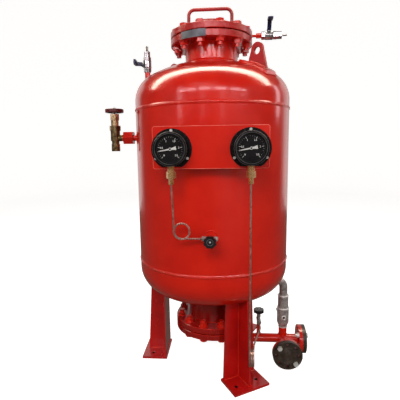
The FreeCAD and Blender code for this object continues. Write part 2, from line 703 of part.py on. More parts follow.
def bladder():
    """Rubber bladder that lines the shell; its two lips are clamped under the covers."""
    throat = NECK_BORE - size.lip_thickness
    lip = LIP_RADIUS

    def lining(end, way, out, mouth):
        """From throat to barrel, in plain cones that touch the offset head surface."""
        seam = ENDS[end]["seam"]
        edge_x, edge_z = crown_edge(out)
        halfway = (mouth + edge_x) / 2
        corner_x = KNUCKLE_CENTRE + (size.knuckle_radius + out) * cosine(45)
        return [
            (mouth, seam + way * crown_height(mouth, out)),
            (halfway, seam + way * crown_height(halfway, out)),
            (edge_x, seam + way * edge_z), (corner_x, seam + way * knuckle_height(corner_x, out)),
            (size.shell_radius + out, seam + way * size.straight_flange),
        ]

    def clamped_lip(face, way, mouth_in, mouth_out):
        return [
            (mouth_in, face + way * size.lip_thickness), (lip, face + way * size.lip_thickness),
            (lip, face), (mouth_out, face),
        ]

    out = -(size.shell_wall + size.bladder_gap)
    deeper = out - size.bladder_wall
    inner = throat - size.bladder_wall
    top_face = UPPER_SEAM + ENDS["top"]["flange_out"]
    bottom_face = LOWER_SEAM - ENDS["bottom"]["flange_out"]
    corners = clamped_lip(bottom_face, -1, inner, throat)
    corners += lining("bottom", -1, out, throat) + lining("top", 1, out, throat)[::-1]
    corners += clamped_lip(top_face, 1, inner, throat)[::-1]
    corners += lining("top", 1, deeper, inner) + lining("bottom", -1, deeper, inner)[::-1]
    return spun("bladder", corners)


def perforated_pipe():
    """Core tube that keeps the bladder off the outlet; it stands on the bottom cover."""
    radius = size.core_radius
    inner = radius - size.core_wall
    height = TOP_COVER_IN - BOTTOM_COVER_IN - size.core_top_gap
    body = spun("perforated_pipe", [
        (inner, 0), (size.core_foot_radius, 0), (size.core_foot_radius, size.core_foot_height),
        (radius, size.core_foot_height), (radius, height), (inner, height),
    ], z=BOTTOM_COVER_IN)
    for role in ("XZ_Plane", "YZ_Plane"):
        hole = circle(new_sketch(body, role), 0, size.core_hole_pitch, size.core_hole_radius)
        cut = pocket(body, hole, 3 * radius, middle=True)
        column = body.newObject("PartDesign::LinearPattern", "Rows")
        column.Originals = [cut]
        column.Direction = (origin_part(body, "Z_Axis"), [""])
        bind(column, "Length", size.core_hole_pitch * (size.core_hole_rows - 1))
        bind(column, "Occurrences", size.core_hole_rows)
        body.Tip = column
        doc.recompute()
    return body


# ---- lifting lugs, legs and feet -------------------------------------------------------

LUG_EYE_X = size.shell_radius - size.lug_eye_in
LEG_X = size.shell_radius - size.leg_in


def lug(name, azimuth):
    """Plate lug standing on its pad, with a round eye."""
    eye_x = LUG_EYE_X
    eye_z = UPPER_SEAM + crown_height(eye_x) + size.lug_eye_rise
    crown_z = eye_z + size.lug_crown_rise
    inner = eye_x - size.lug_base_in
    outer = eye_x + size.lug_base_out
    foot = size.lug_pad_thickness + size.weld_leg
    body = new_body(name, azimuth=azimuth)
    outline = draw(new_sketch(body, "XZ_Plane"), [
        (inner, UPPER_SEAM + size.straight_flange), (outer, UPPER_SEAM + size.straight_flange),
        (outer, UPPER_SEAM + knuckle_height(outer) + foot), (eye_x + size.lug_round, crown_z),
        (eye_x, crown_z + size.lug_round, size.lug_round),
        (eye_x - size.lug_round, crown_z, size.lug_round),
        (inner, UPPER_SEAM + crown_height(inner) + foot),
    ])
    circle(outline, eye_x, eye_z, size.lug_eye_radius)
    pad(body, outline, size.lug_thickness, middle=True)
    groove(body, inside_dome(body, UPPER_SEAM, 1, size.lug_pad_thickness + 2 * size.weld_gap))
    return body


def lug_pads():
    """Two reinforcing pads that follow the dome under the lugs."""
    low = UPPER_SEAM + size.straight_flange
    high = UPPER_SEAM + CROWN_TOP
    far = size.shell_radius + size.lug_pad_length
    gap = size.weld_gap
    edge_x, edge_z = crown_edge(gap + size.lug_pad_thickness)
    body = new_body("lug_pads", azimuth=size.lug_azimuth)
    for side in (-1, 1):
        middle = side * LUG_EYE_X
        sketch = rounded_box(
            new_sketch(body, lift=low), middle - size.lug_pad_length / 2, -size.lug_pad_width / 2,
            middle + size.lug_pad_length / 2, size.lug_pad_width / 2, size.lug_pad_corner,
        )
        pad(body, sketch, high - low)
    groove(body, inside_dome(body, UPPER_SEAM, 1, gap))
    thick = gap + size.lug_pad_thickness
    groove(body, draw(new_sketch(body, "XZ_Plane"), [
        (0, high + far), (0, high + thick), (edge_x, UPPER_SEAM + edge_z, -(size.crown_radius + thick)),
        (size.shell_radius + thick, low, -(size.knuckle_radius + thick)), (far, low), (far, high + far),
    ]))
    return body


def leg(name, azimuth):
    """Welded tee leg: a plate facing outwards and a web, both wider at the foot, cut to the head."""
    low = size.foot_thickness
    high = LOWER_SEAM - size.straight_flange
    root_x = LEG_X + size.leg_thickness
    body = new_body(name, azimuth=azimuth)
    plate = draw(new_sketch(body, "YZ_Plane", LEG_X), [
        (-size.leg_foot_half, low), (size.leg_foot_half, low),
        (size.leg_head_half, high), (-size.leg_head_half, high),
    ])
    pad(body, plate, size.leg_thickness)
    web = draw(new_sketch(body, "XZ_Plane"), [
        (LEG_X, low), (root_x + size.leg_foot_web, low), (root_x + size.leg_head_web, high),
        (LEG_X, high),
    ])
    pad(body, web, size.leg_thickness, middle=True)
    groove(body, inside_dome(body, LOWER_SEAM, -1, size.weld_gap))
    return body


def foot(name, azimuth):
    """Foot plate with one hole each side of its leg."""
    body = new_body(name, azimuth=azimuth)
    half = size.foot_half_width
    toe = LEG_X - size.foot_toe
    plate = box(new_sketch(body), toe, -half, toe + size.foot_length, half)
    holes = (
        (size.shell_radius - size.outer_foot_circle_in, -size.outer_foot_side),
        (size.shell_radius - size.inner_foot_circle_in, size.inner_foot_side),
    )
    for ring, side in holes:
        circle(plate, root(ring * ring - side * side), side, size.foot_hole_radius)
    pad(body, plate, size.foot_thickness)
    return body


# ---- gauge panel and gauges ------------------------------------------------------------

PANEL_FRONT = size.shell_radius + size.panel_stand_off
PANEL_BACK = PANEL_FRONT - size.panel_thickness
GAUGE_Z = LOWER_SEAM + size.gauge_rise
GAUGE_FLANGE = size.gauge_case_radius + size.gauge_flange_out
GAUGE_FLAT = size.gauge_case_radius + size.gauge_flat_out
SCREW_CIRCLE = size.gauge_case_radius + size.screw_circle_out
GAUGE_SIDE = size.gauge_spacing / 2 + size.gauge_case_radius
PANEL_LEFT = size.gauge_middle_x - GAUGE_SIDE - size.panel_left_margin
PANEL_RIGHT = size.gauge_middle_x + GAUGE_SIDE + size.panel_right_margin
PANEL_TOP = GAUGE_Z + SCREW_CIRCLE + size.panel_over_screws
PANEL_FOOT = GAUGE_Z - GAUGE_FLAT - size.panel_under_gauges
PANEL_X = (PANEL_LEFT + PANEL_RIGHT) / 2
PANEL_Z = (PANEL_TOP + PANEL_FOOT) / 2
PANEL_HALF_WIDTH = (PANEL_RIGHT - PANEL_LEFT) / 2
PANEL_HALF_HEIGHT = (PANEL_TOP - PANEL_FOOT) / 2
SCREW_BORE = size.screw_radius + size.thread_clearance
SIDES = {"left": -1, "right": 1}


def at_gauge(side):
    """The gauge's own frame: Z out of the panel's front face, X and Y as seen from the front."""
    return {
        "x": size.gauge_middle_x + SIDES[side] * size.gauge_spacing / 2,
        "y": -PANEL_FRONT, "z": GAUGE_Z, "turn": FRONT,
    }


def screw_places(x=0, y=0):
    """Three screws: one at the top and two low."""
    ring = SCREW_CIRCLE
    return [(x + ring * cosine(angle), y + ring * sine(angle)) for angle in (90, 210, 330)]


def gauge_panel():
    """Flat plate for two gauges, with their screw holes."""
    body = new_body("gauge_panel", x=PANEL_X, y=-PANEL_BACK, z=PANEL_Z, turn=FRONT)
    plate = rounded_box(
        new_sketch(body), -PANEL_HALF_WIDTH, -PANEL_HALF_HEIGHT, PANEL_HALF_WIDTH, PANEL_HALF_HEIGHT,
        size.panel_corner,
    )
    for side in SIDES.values():
        gauge_x = size.gauge_middle_x - PANEL_X + side * size.gauge_spacing / 2
        for x, y in screw_places(gauge_x, GAUGE_Z - PANEL_Z):
            circle(plate, x, y, SCREW_BORE)
    pad(body, plate, size.panel_thickness)
    return body


def cut_to_shell(body, half_height):
    """Trim a front-facing body to the barrel's curve."""
    reach = size.shell_radius + size.weld_gap
    return groove(body, box(new_sketch(body), 0, -half_height, reach, half_height))


def panel_brackets():
    """Two upright bars from the barrel to the back of the panel."""
    body = new_body("panel_brackets", z=PANEL_Z, turn=FRONT)
    start = size.shell_radius - PANEL_HALF_HEIGHT
    half = size.bracket_thickness / 2
    for side in SIDES.values():
        middle = PANEL_X + side * size.bracket_spacing / 2
        bar = box(new_sketch(body, lift=start), middle - half, -size.bracket_height / 2,
                  middle + half, size.bracket_height / 2)
        pad(body, bar, PANEL_BACK - start)
    cut_to_shell(body, size.bracket_height)
    return body


def gauge_case(side):
    """Round case on a flange with a flat foot, open to the front, with a movement block inside."""
    ring = GAUGE_FLANGE
    drop = GAUGE_FLAT
    half_flat = root(ring * ring - drop * drop)
    inner = size.gauge_case_radius - size.gauge_case_wall
    floor = size.gauge_flange_thickness + size.gauge_case_wall
    body = new_body(f"{side}_gauge_case", **at_gauge(side))
    outline = draw(new_sketch(body), [
        (half_flat, -drop), (ring, 0, ring), (0, ring, ring), (-ring, 0, ring), (-half_flat, -drop, ring),
    ])
    for x, y in screw_places():
        circle(outline, x, y, SCREW_BORE)
    pad(body, outline, size.gauge_flange_thickness)
    pad(body, circle(new_sketch(body), 0, 0, size.gauge_case_radius), size.gauge_depth)
    pocket(body, circle(new_sketch(body, lift=size.gauge_depth), 0, 0, inner), size.gauge_depth - floor)
    pad(body, circle(new_sketch(body, lift=floor), 0, 0, size.movement_radius), size.dial_height - floor)
    arbor_bore = size.arbor_radius + size.running_clearance
    arbor = circle(new_sketch(body, lift=size.dial_height), 0, 0, arbor_bore)
    pocket(body, arbor, size.dial_height - 2 * floor)
    stem = circle(new_sketch(body, "XZ_Plane", size.gauge_case_radius - size.movement_radius), 0,
                  size.gauge_axis_depth, size.socket_stem_radius + size.weld_gap)
    pocket(body, stem, size.movement_radius + size.gauge_case_wall, flip=True)
    return body


def gauge_bezels():
    """Turned rings that hold the glasses on the case rims."""
    rim = size.gauge_case_radius + size.weld_gap
    outer = size.gauge_case_radius + size.bezel_wall
    opening = size.gauge_case_radius - size.bezel_cover
    glass = size.gauge_case_radius - size.gauge_case_wall / 2 + size.weld_gap
    front = size.gauge_depth + size.bezel_depth
    lip = size.gauge_depth + size.lens_thickness + size.weld_gap
    back = size.gauge_depth - size.bezel_depth
    corners = [
        (rim, back), (outer, back),
        (outer, front - size.bezel_lip), (outer - size.bezel_lip, front),
        (opening + size.bezel_lip, front), (opening, lip), (glass, lip),
        (glass, size.gauge_depth), (rim, size.gauge_depth),
    ]
    return group("gauge_bezels", [spun(f"{side}_bezel", corners, **at_gauge(side)) for side in SIDES])


def gauge_plates(name, radius, low, thickness, bore=None):
    """A round plate in each gauge, such as its dial or its glass."""
    plates = []
    for side in SIDES:
        body = new_body(f"{side}_{name}", **at_gauge(side))
        sketch = circle(new_sketch(body, lift=low), 0, 0, radius)
        if bore is not None:
            circle(sketch, 0, 0, bore)
        pad(body, sketch, thickness)
        plates.append(body)
    return group(name, plates)


def pointer(side):
    """Pointer with its arbor: a long taper one way and a spreading tail the other."""
    body = new_body(f"{side}_pointer", **at_gauge(side))
    base = body.Placement.Base
    turn = FRONT.multiply(Rotation(Vector(0, 0, 1), sheet.pointer_rest_angle))
    body.Placement = FreeCAD.Placement(base, turn)
    hub = size.pointer_hub_radius
    low = size.dial_height + size.pointer_lift
    length = size.gauge_case_radius - size.pointer_reach
    shoulder = length - size.pointer_tip_length
    shoulder_half = size.pointer_shoulder_half
    blade = draw(new_sketch(body, lift=low), [
        (-length, 0), (-shoulder, -shoulder_half), (0, -size.pointer_waist),
        (size.pointer_tail, -hub), (size.pointer_tail, hub), (0, size.pointer_waist),
        (-shoulder, shoulder_half),
    ])
    pad(body, blade, size.pointer_thickness)
    pad(body, circle(new_sketch(body, lift=low), 0, 0, hub), 2 * size.pointer_thickness)
    foot = 2 * (size.gauge_flange_thickness + size.gauge_case_wall) + size.pointer_thickness
    arbor = circle(new_sketch(body, lift=foot), 0, 0, size.arbor_radius)
    pad(body, arbor, low - foot)
    return body


def gauge_screws():
    """Pan-head screws that hold both gauges to the panel."""
    sets = []
    for side in SIDES:
        body = new_body(f"{side}_screws", **at_gauge(side))
        heads = new_sketch(body, lift=size.gauge_flange_thickness)
        shanks = new_sketch(body, lift=-size.panel_thickness)
        for x, y in screw_places():
            circle(heads, x, y, size.screw_head_radius)
            circle(shanks, x, y, size.screw_radius)
        pad(body, heads, size.screw_head_height)
        pad(body, shanks, size.panel_thickness + size.gauge_flange_thickness)
        sets.append(body)
    return group("gauge_screws", sets)


def under_gauge(side):
    """The foot of a gauge's case, where its pressure connection hangs."""
    return {
        "x": size.gauge_middle_x + SIDES[side] * size.gauge_spacing / 2,
        "y": -(PANEL_FRONT + size.gauge_axis_depth),
        "z": GAUGE_Z - size.gauge_case_radius,
    }


def gauge_sockets():
    """Pressure connections: a stem into the case, a shoulder and a spigot."""
    shoulder = -2 * size.weld_gap
    foot = -size.socket_length - size.spigot_length
    corners = [
        (0, foot), (size.spigot_radius, foot),
        (size.spigot_radius, -size.socket_length), (size.socket_radius, -size.socket_length),
        (size.socket_radius, shoulder), (size.socket_stem_radius, shoulder),
        (size.socket_stem_radius, size.socket_stem_length), (0, size.socket_stem_length),
    ]
    return group("gauge_sockets", [spun(f"{side}_socket", corners, **under_gauge(side)) for side in SIDES])


TUBE_BORE = size.tube_radius + size.thread_clearance
TUBE_END_Z = GAUGE_Z - size.gauge_case_radius - size.socket_length - size.spigot_length


def union_nuts():
    """Under each gauge a union nut and a smaller cone nut, both bored for the tube."""
    nuts = []
    for side in SIDES:
        low = -size.socket_length - size.union_length
        union = new_body(f"{side}_union_nut", **under_gauge(side))
        sketch = hexagon(new_sketch(union, lift=low), 0, 0, size.union_corner)
        pad(union, circle(sketch, 0, 0, TUBE_BORE), size.union_length)
        spigot_bore = size.spigot_radius + size.thread_clearance
        seat = circle(new_sketch(union, lift=-size.socket_length), 0, 0, spigot_bore)
        pocket(union, seat, size.spigot_length)
        cone = new_body(f"{side}_cone_nut", **under_gauge(side))
        sketch = hexagon(new_sketch(cone, lift=low - size.cone_nut_length), 0, 0, size.cone_nut_corner)
        pad(cone, circle(sketch, 0, 0, TUBE_BORE), size.cone_nut_length)
        nuts += [union, cone]
    return group("union_nuts", nuts)


# ---- siphon tubes ----------------------------------------------------------------------

TUBE_Y = -(PANEL_FRONT + size.gauge_axis_depth)
NUT_REACH = size.valve_body_half + size.gland_length
TEE_X = size.shell_radius - size.tee_in
LOWER_VALVE_X = TEE_X - size.lower_valve_in
LOWER_STUB_TOP = size.manifold_height + size.lower_stub_length
LOWER_VALVE_Z = LOWER_STUB_TOP + size.valve_inlet_length


def line(start, finish):
    return Part.LineSegment(start, finish).toShape()


def bent_run(points, bends):
    """Straight runs joined by tangent arcs, one radius for each inner point."""
    edges = []
    here = points[0]
    for before, corner, after, bend in zip(points, points[1:], points[2:], bends):
        inward = (before - corner).normalize()
        outward = (after - corner).normalize()
        half_turn = (math.pi - inward.getAngle(outward)) / 2
        reach = bend * math.tan(half_turn)
        start = corner + inward * reach
        finish = corner + outward * reach
        bisector = (inward + outward).normalize()
        middle = corner + bisector * (bend / math.cos(half_turn) - bend)
        edges.append(line(here, start))
        edges.append(Part.Arc(start, middle, finish).toShape())
        here = finish
    edges.append(line(here, points[-1]))
    return edges


def coil(start, across, shift, half_turns, radius, pitch):
    """Half turns that begin downward at start, each in an upright plane turned a little.

    The planes meet where the tube is upright, so every joint is smooth.
    """
    edges = []
    here = start
    lean = pitch / (4 * radius)
    for number in range(half_turns):
        way = 1 if number % 2 == 0 else -1
        step = across * (way * math.sqrt(1 - lean**2)) + shift * lean
        there = here + step * (2 * radius)
        middle = (here + there) * 0.5 - Vector(0, 0, way * radius)
        edges.append(Part.Arc(here, middle, there).toShape())
        here = there
    return edges, here


def swept_tube(name, edges):
    """A round bar along smooth edges; its volume is compared with section times length."""
    path = Part.Wire(edges)
    start = edges[0].valueAt(edges[0].FirstParameter)
    heading = edges[0].tangentAt(edges[0].FirstParameter)
    radius = sheet.tube_radius
    section = Part.Wire([Part.Circle(start, heading, radius).toShape()])
    tube = doc.addObject("Part::Feature", name)
    tube.Label = name
    tube.Shape = path.makePipeShell([section], True, False)
    expected = math.pi * radius**2 * path.Length
    if abs(tube.Shape.Volume - expected) > 0.01 * expected:
        raise ValueError(f"{name} lost part of its sweep")
    return tube


def left_siphon_tube():
    """Down from the left gauge, one and a quarter turns, then level into the front valve."""
    x = sheet.gauge_middle_x - sheet.gauge_spacing / 2
    radius = sheet.coil_radius
    top = Vector(x, TUBE_Y.number, TUBE_END_Z.number)
    coil_start = Vector(x, -sheet.shell_radius - sheet.left_coil_out, FRONT_VALVE_Z.number + radius)
    shoulder = Vector(x, top.y, coil_start.z + sheet.offset_top_rise)
    knee = Vector(x, coil_start.y, coil_start.z + sheet.offset_bottom_rise)
    edges = bent_run([top, shoulder, knee, coil_start], [sheet.offset_bend, sheet.offset_bend])
    turns, here = coil(coil_start, Vector(1, 0, 0), Vector(0, 1, 0), 2, radius, sheet.coil_pitch)
    corner = math.sqrt(0.5) * radius
    centre = here + Vector(radius, 0, 0)
    foot = centre - Vector(0, 0, radius)
    quarter = Part.Arc(here, centre - Vector(corner, 0, corner), foot).toShape()
    inside = Vector(sheet.front_valve_x - sheet.valve_body_half, foot.y, foot.z)
    return swept_tube("left_siphon_tube", edges + turns + [quarter, line(foot, inside)])


def right_siphon_tube():
    """Down from the right gauge, one and a half turns, then back to the lower valve."""
    x = sheet.gauge_middle_x + sheet.gauge_spacing / 2
    top = Vector(x, TUBE_Y.number, TUBE_END_Z.number)
    valve_x = LOWER_VALVE_X.number
    valve_z = LOWER_VALVE_Z.number
    coil_start = Vector(x, top.y, valve_z + sheet.right_coil_rise)
    turns, here = coil(
        coil_start, Vector(0, 1, 0), Vector(1, 0, 0), 5, sheet.coil_radius, sheet.right_coil_pitch,
    )
    nut_y = sheet.manifold_y - NUT_REACH.number
    run = bent_run([
        here, here + Vector(0, 0, sheet.tube_rise), Vector(valve_x, nut_y - sheet.tube_lead, valve_z),
        Vector(valve_x, sheet.manifold_y - sheet.valve_body_half, valve_z),
    ], [sheet.tube_bend, sheet.tube_bend])
    return swept_tube("right_siphon_tube", [line(top, coil_start)] + turns + run)


# ---- needle valves ---------------------------------------------------------------------

LOWER_VALVE_TURN = Rotation(Vector(0, 0, 1), 90)
VALVE_PLACES = {
    "left": {
        "x": size.front_valve_x, "y": -size.shell_radius - size.front_valve_out, "z": FRONT_VALVE_Z,
        "turn": FRONT,
    },
    "right": {"x": LOWER_VALVE_X, "y": size.manifold_y, "z": LOWER_VALVE_Z, "turn": LOWER_VALVE_TURN},
}


def shell_boss():
    """Round pad on the barrel's front, trimmed to its curve."""
    body = new_body("shell_boss", z=FRONT_VALVE_Z, turn=FRONT)
    start = size.shell_radius - size.pad_thickness
    ring = circle(new_sketch(body, lift=start), size.front_valve_x, 0, size.pad_radius)
    circle(ring, size.front_valve_x, 0, size.stub_radius + size.weld_gap)
    pad(body, ring, 2 * size.pad_thickness)
    cut_to_shell(body, 2 * size.pad_radius)
    return body


def needle_valve(side):
    """Cross body with a bonnet, a gland nut for the tube and a plug opposite."""
    half = size.valve_body_half
    body = new_body(f"{side}_needle_valve", **VALVE_PLACES[side])
    pad(body, circle(new_sketch(body, "YZ_Plane"), 0, 0, size.valve_body_radius), 2 * half, middle=True)
    inlet = circle(new_sketch(body, lift=-size.valve_inlet_length), 0, 0, size.stub_radius)
    pad(body, inlet, size.valve_inlet_length)
    pad(body, circle(new_sketch(body), 0, 0, size.bonnet_radius), size.bonnet_length)
    lock_nut = hexagon(new_sketch(body, lift=size.bonnet_length / 2), 0, 0, size.gland_corner)
    pad(body, lock_nut, size.gland_length)
    pad(body, hexagon(new_sketch(body, "YZ_Plane", half), 0, 0, size.plug_corner), size.plug_length)
    pad(body, hexagon(new_sketch(body, "YZ_Plane", -NUT_REACH), 0, 0, size.gland_corner), size.gland_length)
    tube = circle(new_sketch(body, "YZ_Plane", -NUT_REACH), 0, 0, TUBE_BORE)
    pocket(body, tube, size.gland_length, flip=True)
    spindle_bore = size.spindle_radius + size.running_clearance
    pocket(body, circle(new_sketch(body, lift=size.bonnet_length), 0, 0, spindle_bore), size.bonnet_length)
    return body


def needle_knob(side):
    """Lobed hand knob with its hub and spindle."""
    low = size.bonnet_length + size.knob_lift
    high = low + size.knob_thickness
    body = new_body(f"{side}_needle_knob", **VALVE_PLACES[side])
    pad(body, circle(new_sketch(body, lift=low), 0, 0, size.knob_radius), size.knob_thickness)
    scallop = circle(new_sketch(body, lift=high), size.scallop_distance, 0, size.scallop_radius)
    polar(body, pocket(body, scallop, size.knob_thickness), size.scallop_count)
    hub = size.bonnet_length + 2 * size.weld_gap
    pad(body, circle(new_sketch(body, lift=hub), 0, 0, size.knob_hub_radius), low - hub)
    tip = size.valve_body_radius / 2
    pad(body, circle(new_sketch(body, lift=tip), 0, 0, size.spindle_radius), hub - tip)
    return body


# ---- ball valves -----------------------------------------------------------------------

VENT_Z = TOP_COVER_IN + size.vent_height
VENT_START = FLANGE_RADIUS + size.vent_pipe_out + size.coupling_length
BALL_VALVES = {
    "vent": {"x": VENT_START, "z": VENT_Z, "turn": ALONG_RIGHT},
    "bleed": {"x": -BLEED_X, "z": BLEED_TOP, "turn": TURNED_BACK},
}
BODY_LENGTH = {"vent": size.vent_body_length, "bleed": size.bleed_body_length}
LEVER_RISE = {"vent": size.vent_lever_rise, "bleed": size.bleed_lever_rise}


def ball_valve_body(name):
    """Turned body with a hexagon at each end, a round cavity for the ball and a stem boss."""
    length = BODY_LENGTH[name]
    middle = length / 2
    hex_end = size.valve_hex_length
    flat = size.valve_hex_corner * cosine(30)
    housing = size.ball_housing_radius
    slope = housing - flat
    body = spun(f"{name}_valve_body", [
        (0, 0), (flat, 0), (flat, hex_end), (housing, hex_end + slope), (housing, length - hex_end - slope),
        (flat, length - hex_end), (flat, length), (0, length),
    ], **BALL_VALVES[name])
    for low in (as_size(0), length - hex_end):
        pad(body, hexagon(new_sketch(body, lift=low), 0, 0, size.valve_hex_corner), hex_end)
    pad(body, circle(new_sketch(body, "YZ_Plane"), 0, middle, size.stem_boss_radius), size.stem_boss_height)
    ball = size.ball_radius + size.ball_clearance
    pocket(body, circle(new_sketch(body, lift=length), 0, 0, size.port_bore), length)
    groove(body, draw(new_sketch(body, "XZ_Plane"), [
        (0, middle - ball), (ball, middle, ball), (0, middle + ball, ball),
    ]))
    stem = circle(new_sketch(body, "YZ_Plane", size.stem_boss_height), 0, middle,
                  size.stem_radius + size.running_clearance)
    pocket(body, stem, size.stem_boss_height - size.ball_radius / 2)
    return body


def ball_lever(name):
    """Cranked lever, stem and bored ball, which turn as one."""
    middle = BODY_LENGTH[name] / 2
    rise = LEVER_RISE[name]
    ball = size.ball_radius
    low = size.stem_boss_height + 2 * size.weld_gap
    crank_start = size.stem_boss_radius + size.lever_thickness
    crank_end = crank_start + rise / 2
    thick = size.lever_thickness
    body = new_body(f"{name}_lever", **BALL_VALVES[name])
    revolve(body, draw(new_sketch(body, "XZ_Plane"), [
        (0, middle - ball), (ball, middle, ball), (0, middle + ball, ball),
    ]))
    pocket(body, circle(new_sketch(body, "XZ_Plane"), 0, middle, size.ball_bore), 3 * ball, middle=True)
    root_x = ball - size.stem_sunk
    stem = circle(new_sketch(body, "YZ_Plane", root_x), 0, middle, size.stem_radius)
    pad(body, stem, low + 2 * thick - root_x)
    strip = draw(new_sketch(body, lift=middle), [
        (low, -size.lever_back), (low + thick, -size.lever_back), (low + thick, crank_start),
        (low + rise + thick, crank_end), (low + rise + thick, size.lever_reach),
        (low + rise, size.lever_reach), (low + rise, crank_end), (low, crank_start),
    ])
    pad(body, strip, size.lever_width, middle=True)
    grip_low = low + rise + thick / 2 - size.grip_thickness / 2
    grip = rounded_box(
        new_sketch(body, lift=middle), grip_low, crank_end + thick, grip_low + size.grip_thickness,
        size.lever_reach + thick, size.grip_corner,
    )
    pad(body, grip, size.grip_width, middle=True)
    return body


def hose_barb(name, hex_corner, hex_length, radius):
    """Hexagon adapter with a ridged hose tail."""
    start = BODY_LENGTH[name]
    root_end = start + hex_length
    finish = root_end + size.barb_length
    pitch = size.barb_length / size.barb_count
    valley = radius - size.barb_ridge
    corners = [(0, start), (valley, start)]
    for number in range(int(sheet.barb_count)):
        low = root_end + pitch * number
        corners += [(valley, low), (radius, low + size.barb_ridge)]
    corners += [(valley, finish), (0, finish)]
    body = spun(f"{name}_barb", corners, **BALL_VALVES[name])
    pad(body, hexagon(new_sketch(body, lift=start), 0, 0, hex_corner), hex_length)
    pocket(body, circle(new_sketch(body, lift=finish), 0, 0, size.barb_bore), finish - start)
    return body


def hose_barbs():
    return group("hose_barbs", [
        hose_barb("vent", size.vent_hex_corner, size.vent_hex_length, size.vent_barb_radius),
        hose_barb("bleed", size.bleed_hex_corner, size.bleed_hex_length, size.bleed_barb_radius),
    ])


def vent_socket():
    """Pipe out of the cover's rim, ending in a hexagon coupling."""
    body = new_body("vent_socket", z=VENT_Z, turn=RIGHT)
    start = FLANGE_RADIUS - size.vent_pipe_in
    pipe = circle(new_sketch(body, lift=start), 0, 0, size.vent_pipe_radius)
    pad(body, pipe, size.vent_pipe_in + size.vent_pipe_out)
    nut = hexagon(new_sketch(body, lift=VENT_START - size.coupling_length), 0, 0, size.coupling_corner)
    pad(body, nut, size.coupling_length)
    pocket(body, circle(new_sketch(body, lift=VENT_START), 0, 0, size.barb_bore), VENT_START - start)
    return body


def bleed_socket():
    """Half coupling on the dome, with a collar under the bleed valve."""
    low = UPPER_SEAM + size.straight_flange
    high = BLEED_TOP
    body = new_body("bleed_socket", turn=TURNED_BACK)
    pipe = circle(new_sketch(body, lift=low), BLEED_X, 0, size.bleed_socket_radius)
    pad(body, pipe, high - low)
    rim = high - size.bleed_collar_height
    collar = circle(new_sketch(body, lift=rim), BLEED_X, 0, size.bleed_collar_radius)
    pad(body, collar, size.bleed_collar_height)
    groove(body, inside_dome(body, UPPER_SEAM, 1, size.weld_gap))
    pocket(body, circle(new_sketch(body, lift=high), BLEED_X, 0, size.port_bore), high - low)
    return body


def front_stub():
    body = new_body("front_stub", x=size.front_valve_x, z=FRONT_VALVE_Z, turn=FRONT)
    start = size.shell_radius - 2 * size.shell_wall
    finish = size.shell_radius + size.front_valve_out - size.valve_inlet_length
    ring = circle(new_sketch(body, lift=start), 0, 0, size.stub_radius)
    pad(body, circle(ring, 0, 0, size.port_bore), finish - start)
    return body


def lower_stub():
    start = size.manifold_height + size.manifold_radius - 2 * size.manifold_wall
    body = new_body("lower_stub", x=LOWER_VALVE_X, y=size.manifold_y)
    ring = circle(new_sketch(body, lift=start), 0, 0, size.stub_radius)
    pad(body, circle(ring, 0, 0, size.port_bore), LOWER_STUB_TOP - start)
    return body


# ---- side branch and brass angle valve -------------------------------------------------

TO_LEFT = Rotation(Vector(0, -1, 0), Vector(0, 0, 1), Vector(-1, 0, 0), "ZXY")
COUPLING_END = size.shell_radius + size.branch_coupling_start + size.branch_coupling_length
ANGLE_VALVE_X = COUPLING_END + size.angle_arm_length
ANGLE_TOP = size.angle_body_above
BONNET_LOW = ANGLE_TOP + size.union_hex_height
BONNET_TOP = BONNET_LOW + size.angle_bonnet_height
PACKING_TOP = BONNET_TOP + size.packing_nut_height
SEAT_HEIGHT = -size.angle_body_below / 2


def at_angle_valve():
    return {"x": -ANGLE_VALVE_X, "z": BRANCH_Z}


def side_branch():
    """Welded pad, stub and hexagon coupling on the barrel's left."""
    body = new_body("side_branch", z=BRANCH_Z, turn=TO_LEFT)
    base = size.shell_radius - size.branch_pad_out
    pad(body, circle(new_sketch(body, lift=base), 0, 0, size.branch_pad_radius), 2 * size.branch_pad_out)
    cut_to_shell(body, 2 * size.branch_pad_radius)
    start = size.shell_radius - 2 * size.shell_wall
    coupling = size.shell_radius + size.branch_coupling_start
    pad(body, circle(new_sketch(body, lift=start), 0, 0, size.branch_stub_radius), coupling - start)
    nut = hexagon(new_sketch(body, lift=coupling), 0, 0, size.branch_coupling_corner)
    pad(body, nut, size.branch_coupling_length)
    bore = circle(new_sketch(body, lift=COUPLING_END), 0, 0, size.angle_seat_radius)
    pocket(body, bore, COUPLING_END - start)
    return body


def angle_valve_body():
    """Angle body: side arm, round chamber, seat, outlet nipple and union hexagon."""
    arm = size.angle_arm_length
    neck_low = -size.angle_body_below - size.angle_neck_length
    foot_low = neck_low - size.angle_outlet_length
    body = spun("angle_valve_body", [
        (0, foot_low), (size.angle_outlet_radius, foot_low), (size.angle_outlet_radius, neck_low),
        (size.angle_neck_radius, neck_low), (size.angle_neck_radius, -size.angle_body_below),
        (size.angle_body_radius, -size.angle_body_below), (size.angle_body_radius, ANGLE_TOP),
        (0, ANGLE_TOP),
    ], **at_angle_valve())
    pad(body, hexagon(new_sketch(body, lift=ANGLE_TOP), 0, 0, size.union_hex_corner), size.union_hex_height)
    pad(body, circle(new_sketch(body, "YZ_Plane"), 0, 0, size.angle_arm_radius), arm)
    chamber = circle(new_sketch(body, lift=BONNET_LOW), 0, 0, size.angle_cavity_radius)
    pocket(body, chamber, BONNET_LOW - SEAT_HEIGHT)
    outlet = circle(new_sketch(body, lift=SEAT_HEIGHT), 0, 0, size.angle_seat_radius)
    pocket(body, outlet, SEAT_HEIGHT - foot_low)
    pocket(body, circle(new_sketch(body, "YZ_Plane", arm), 0, 0, size.angle_seat_radius), arm)
    return body


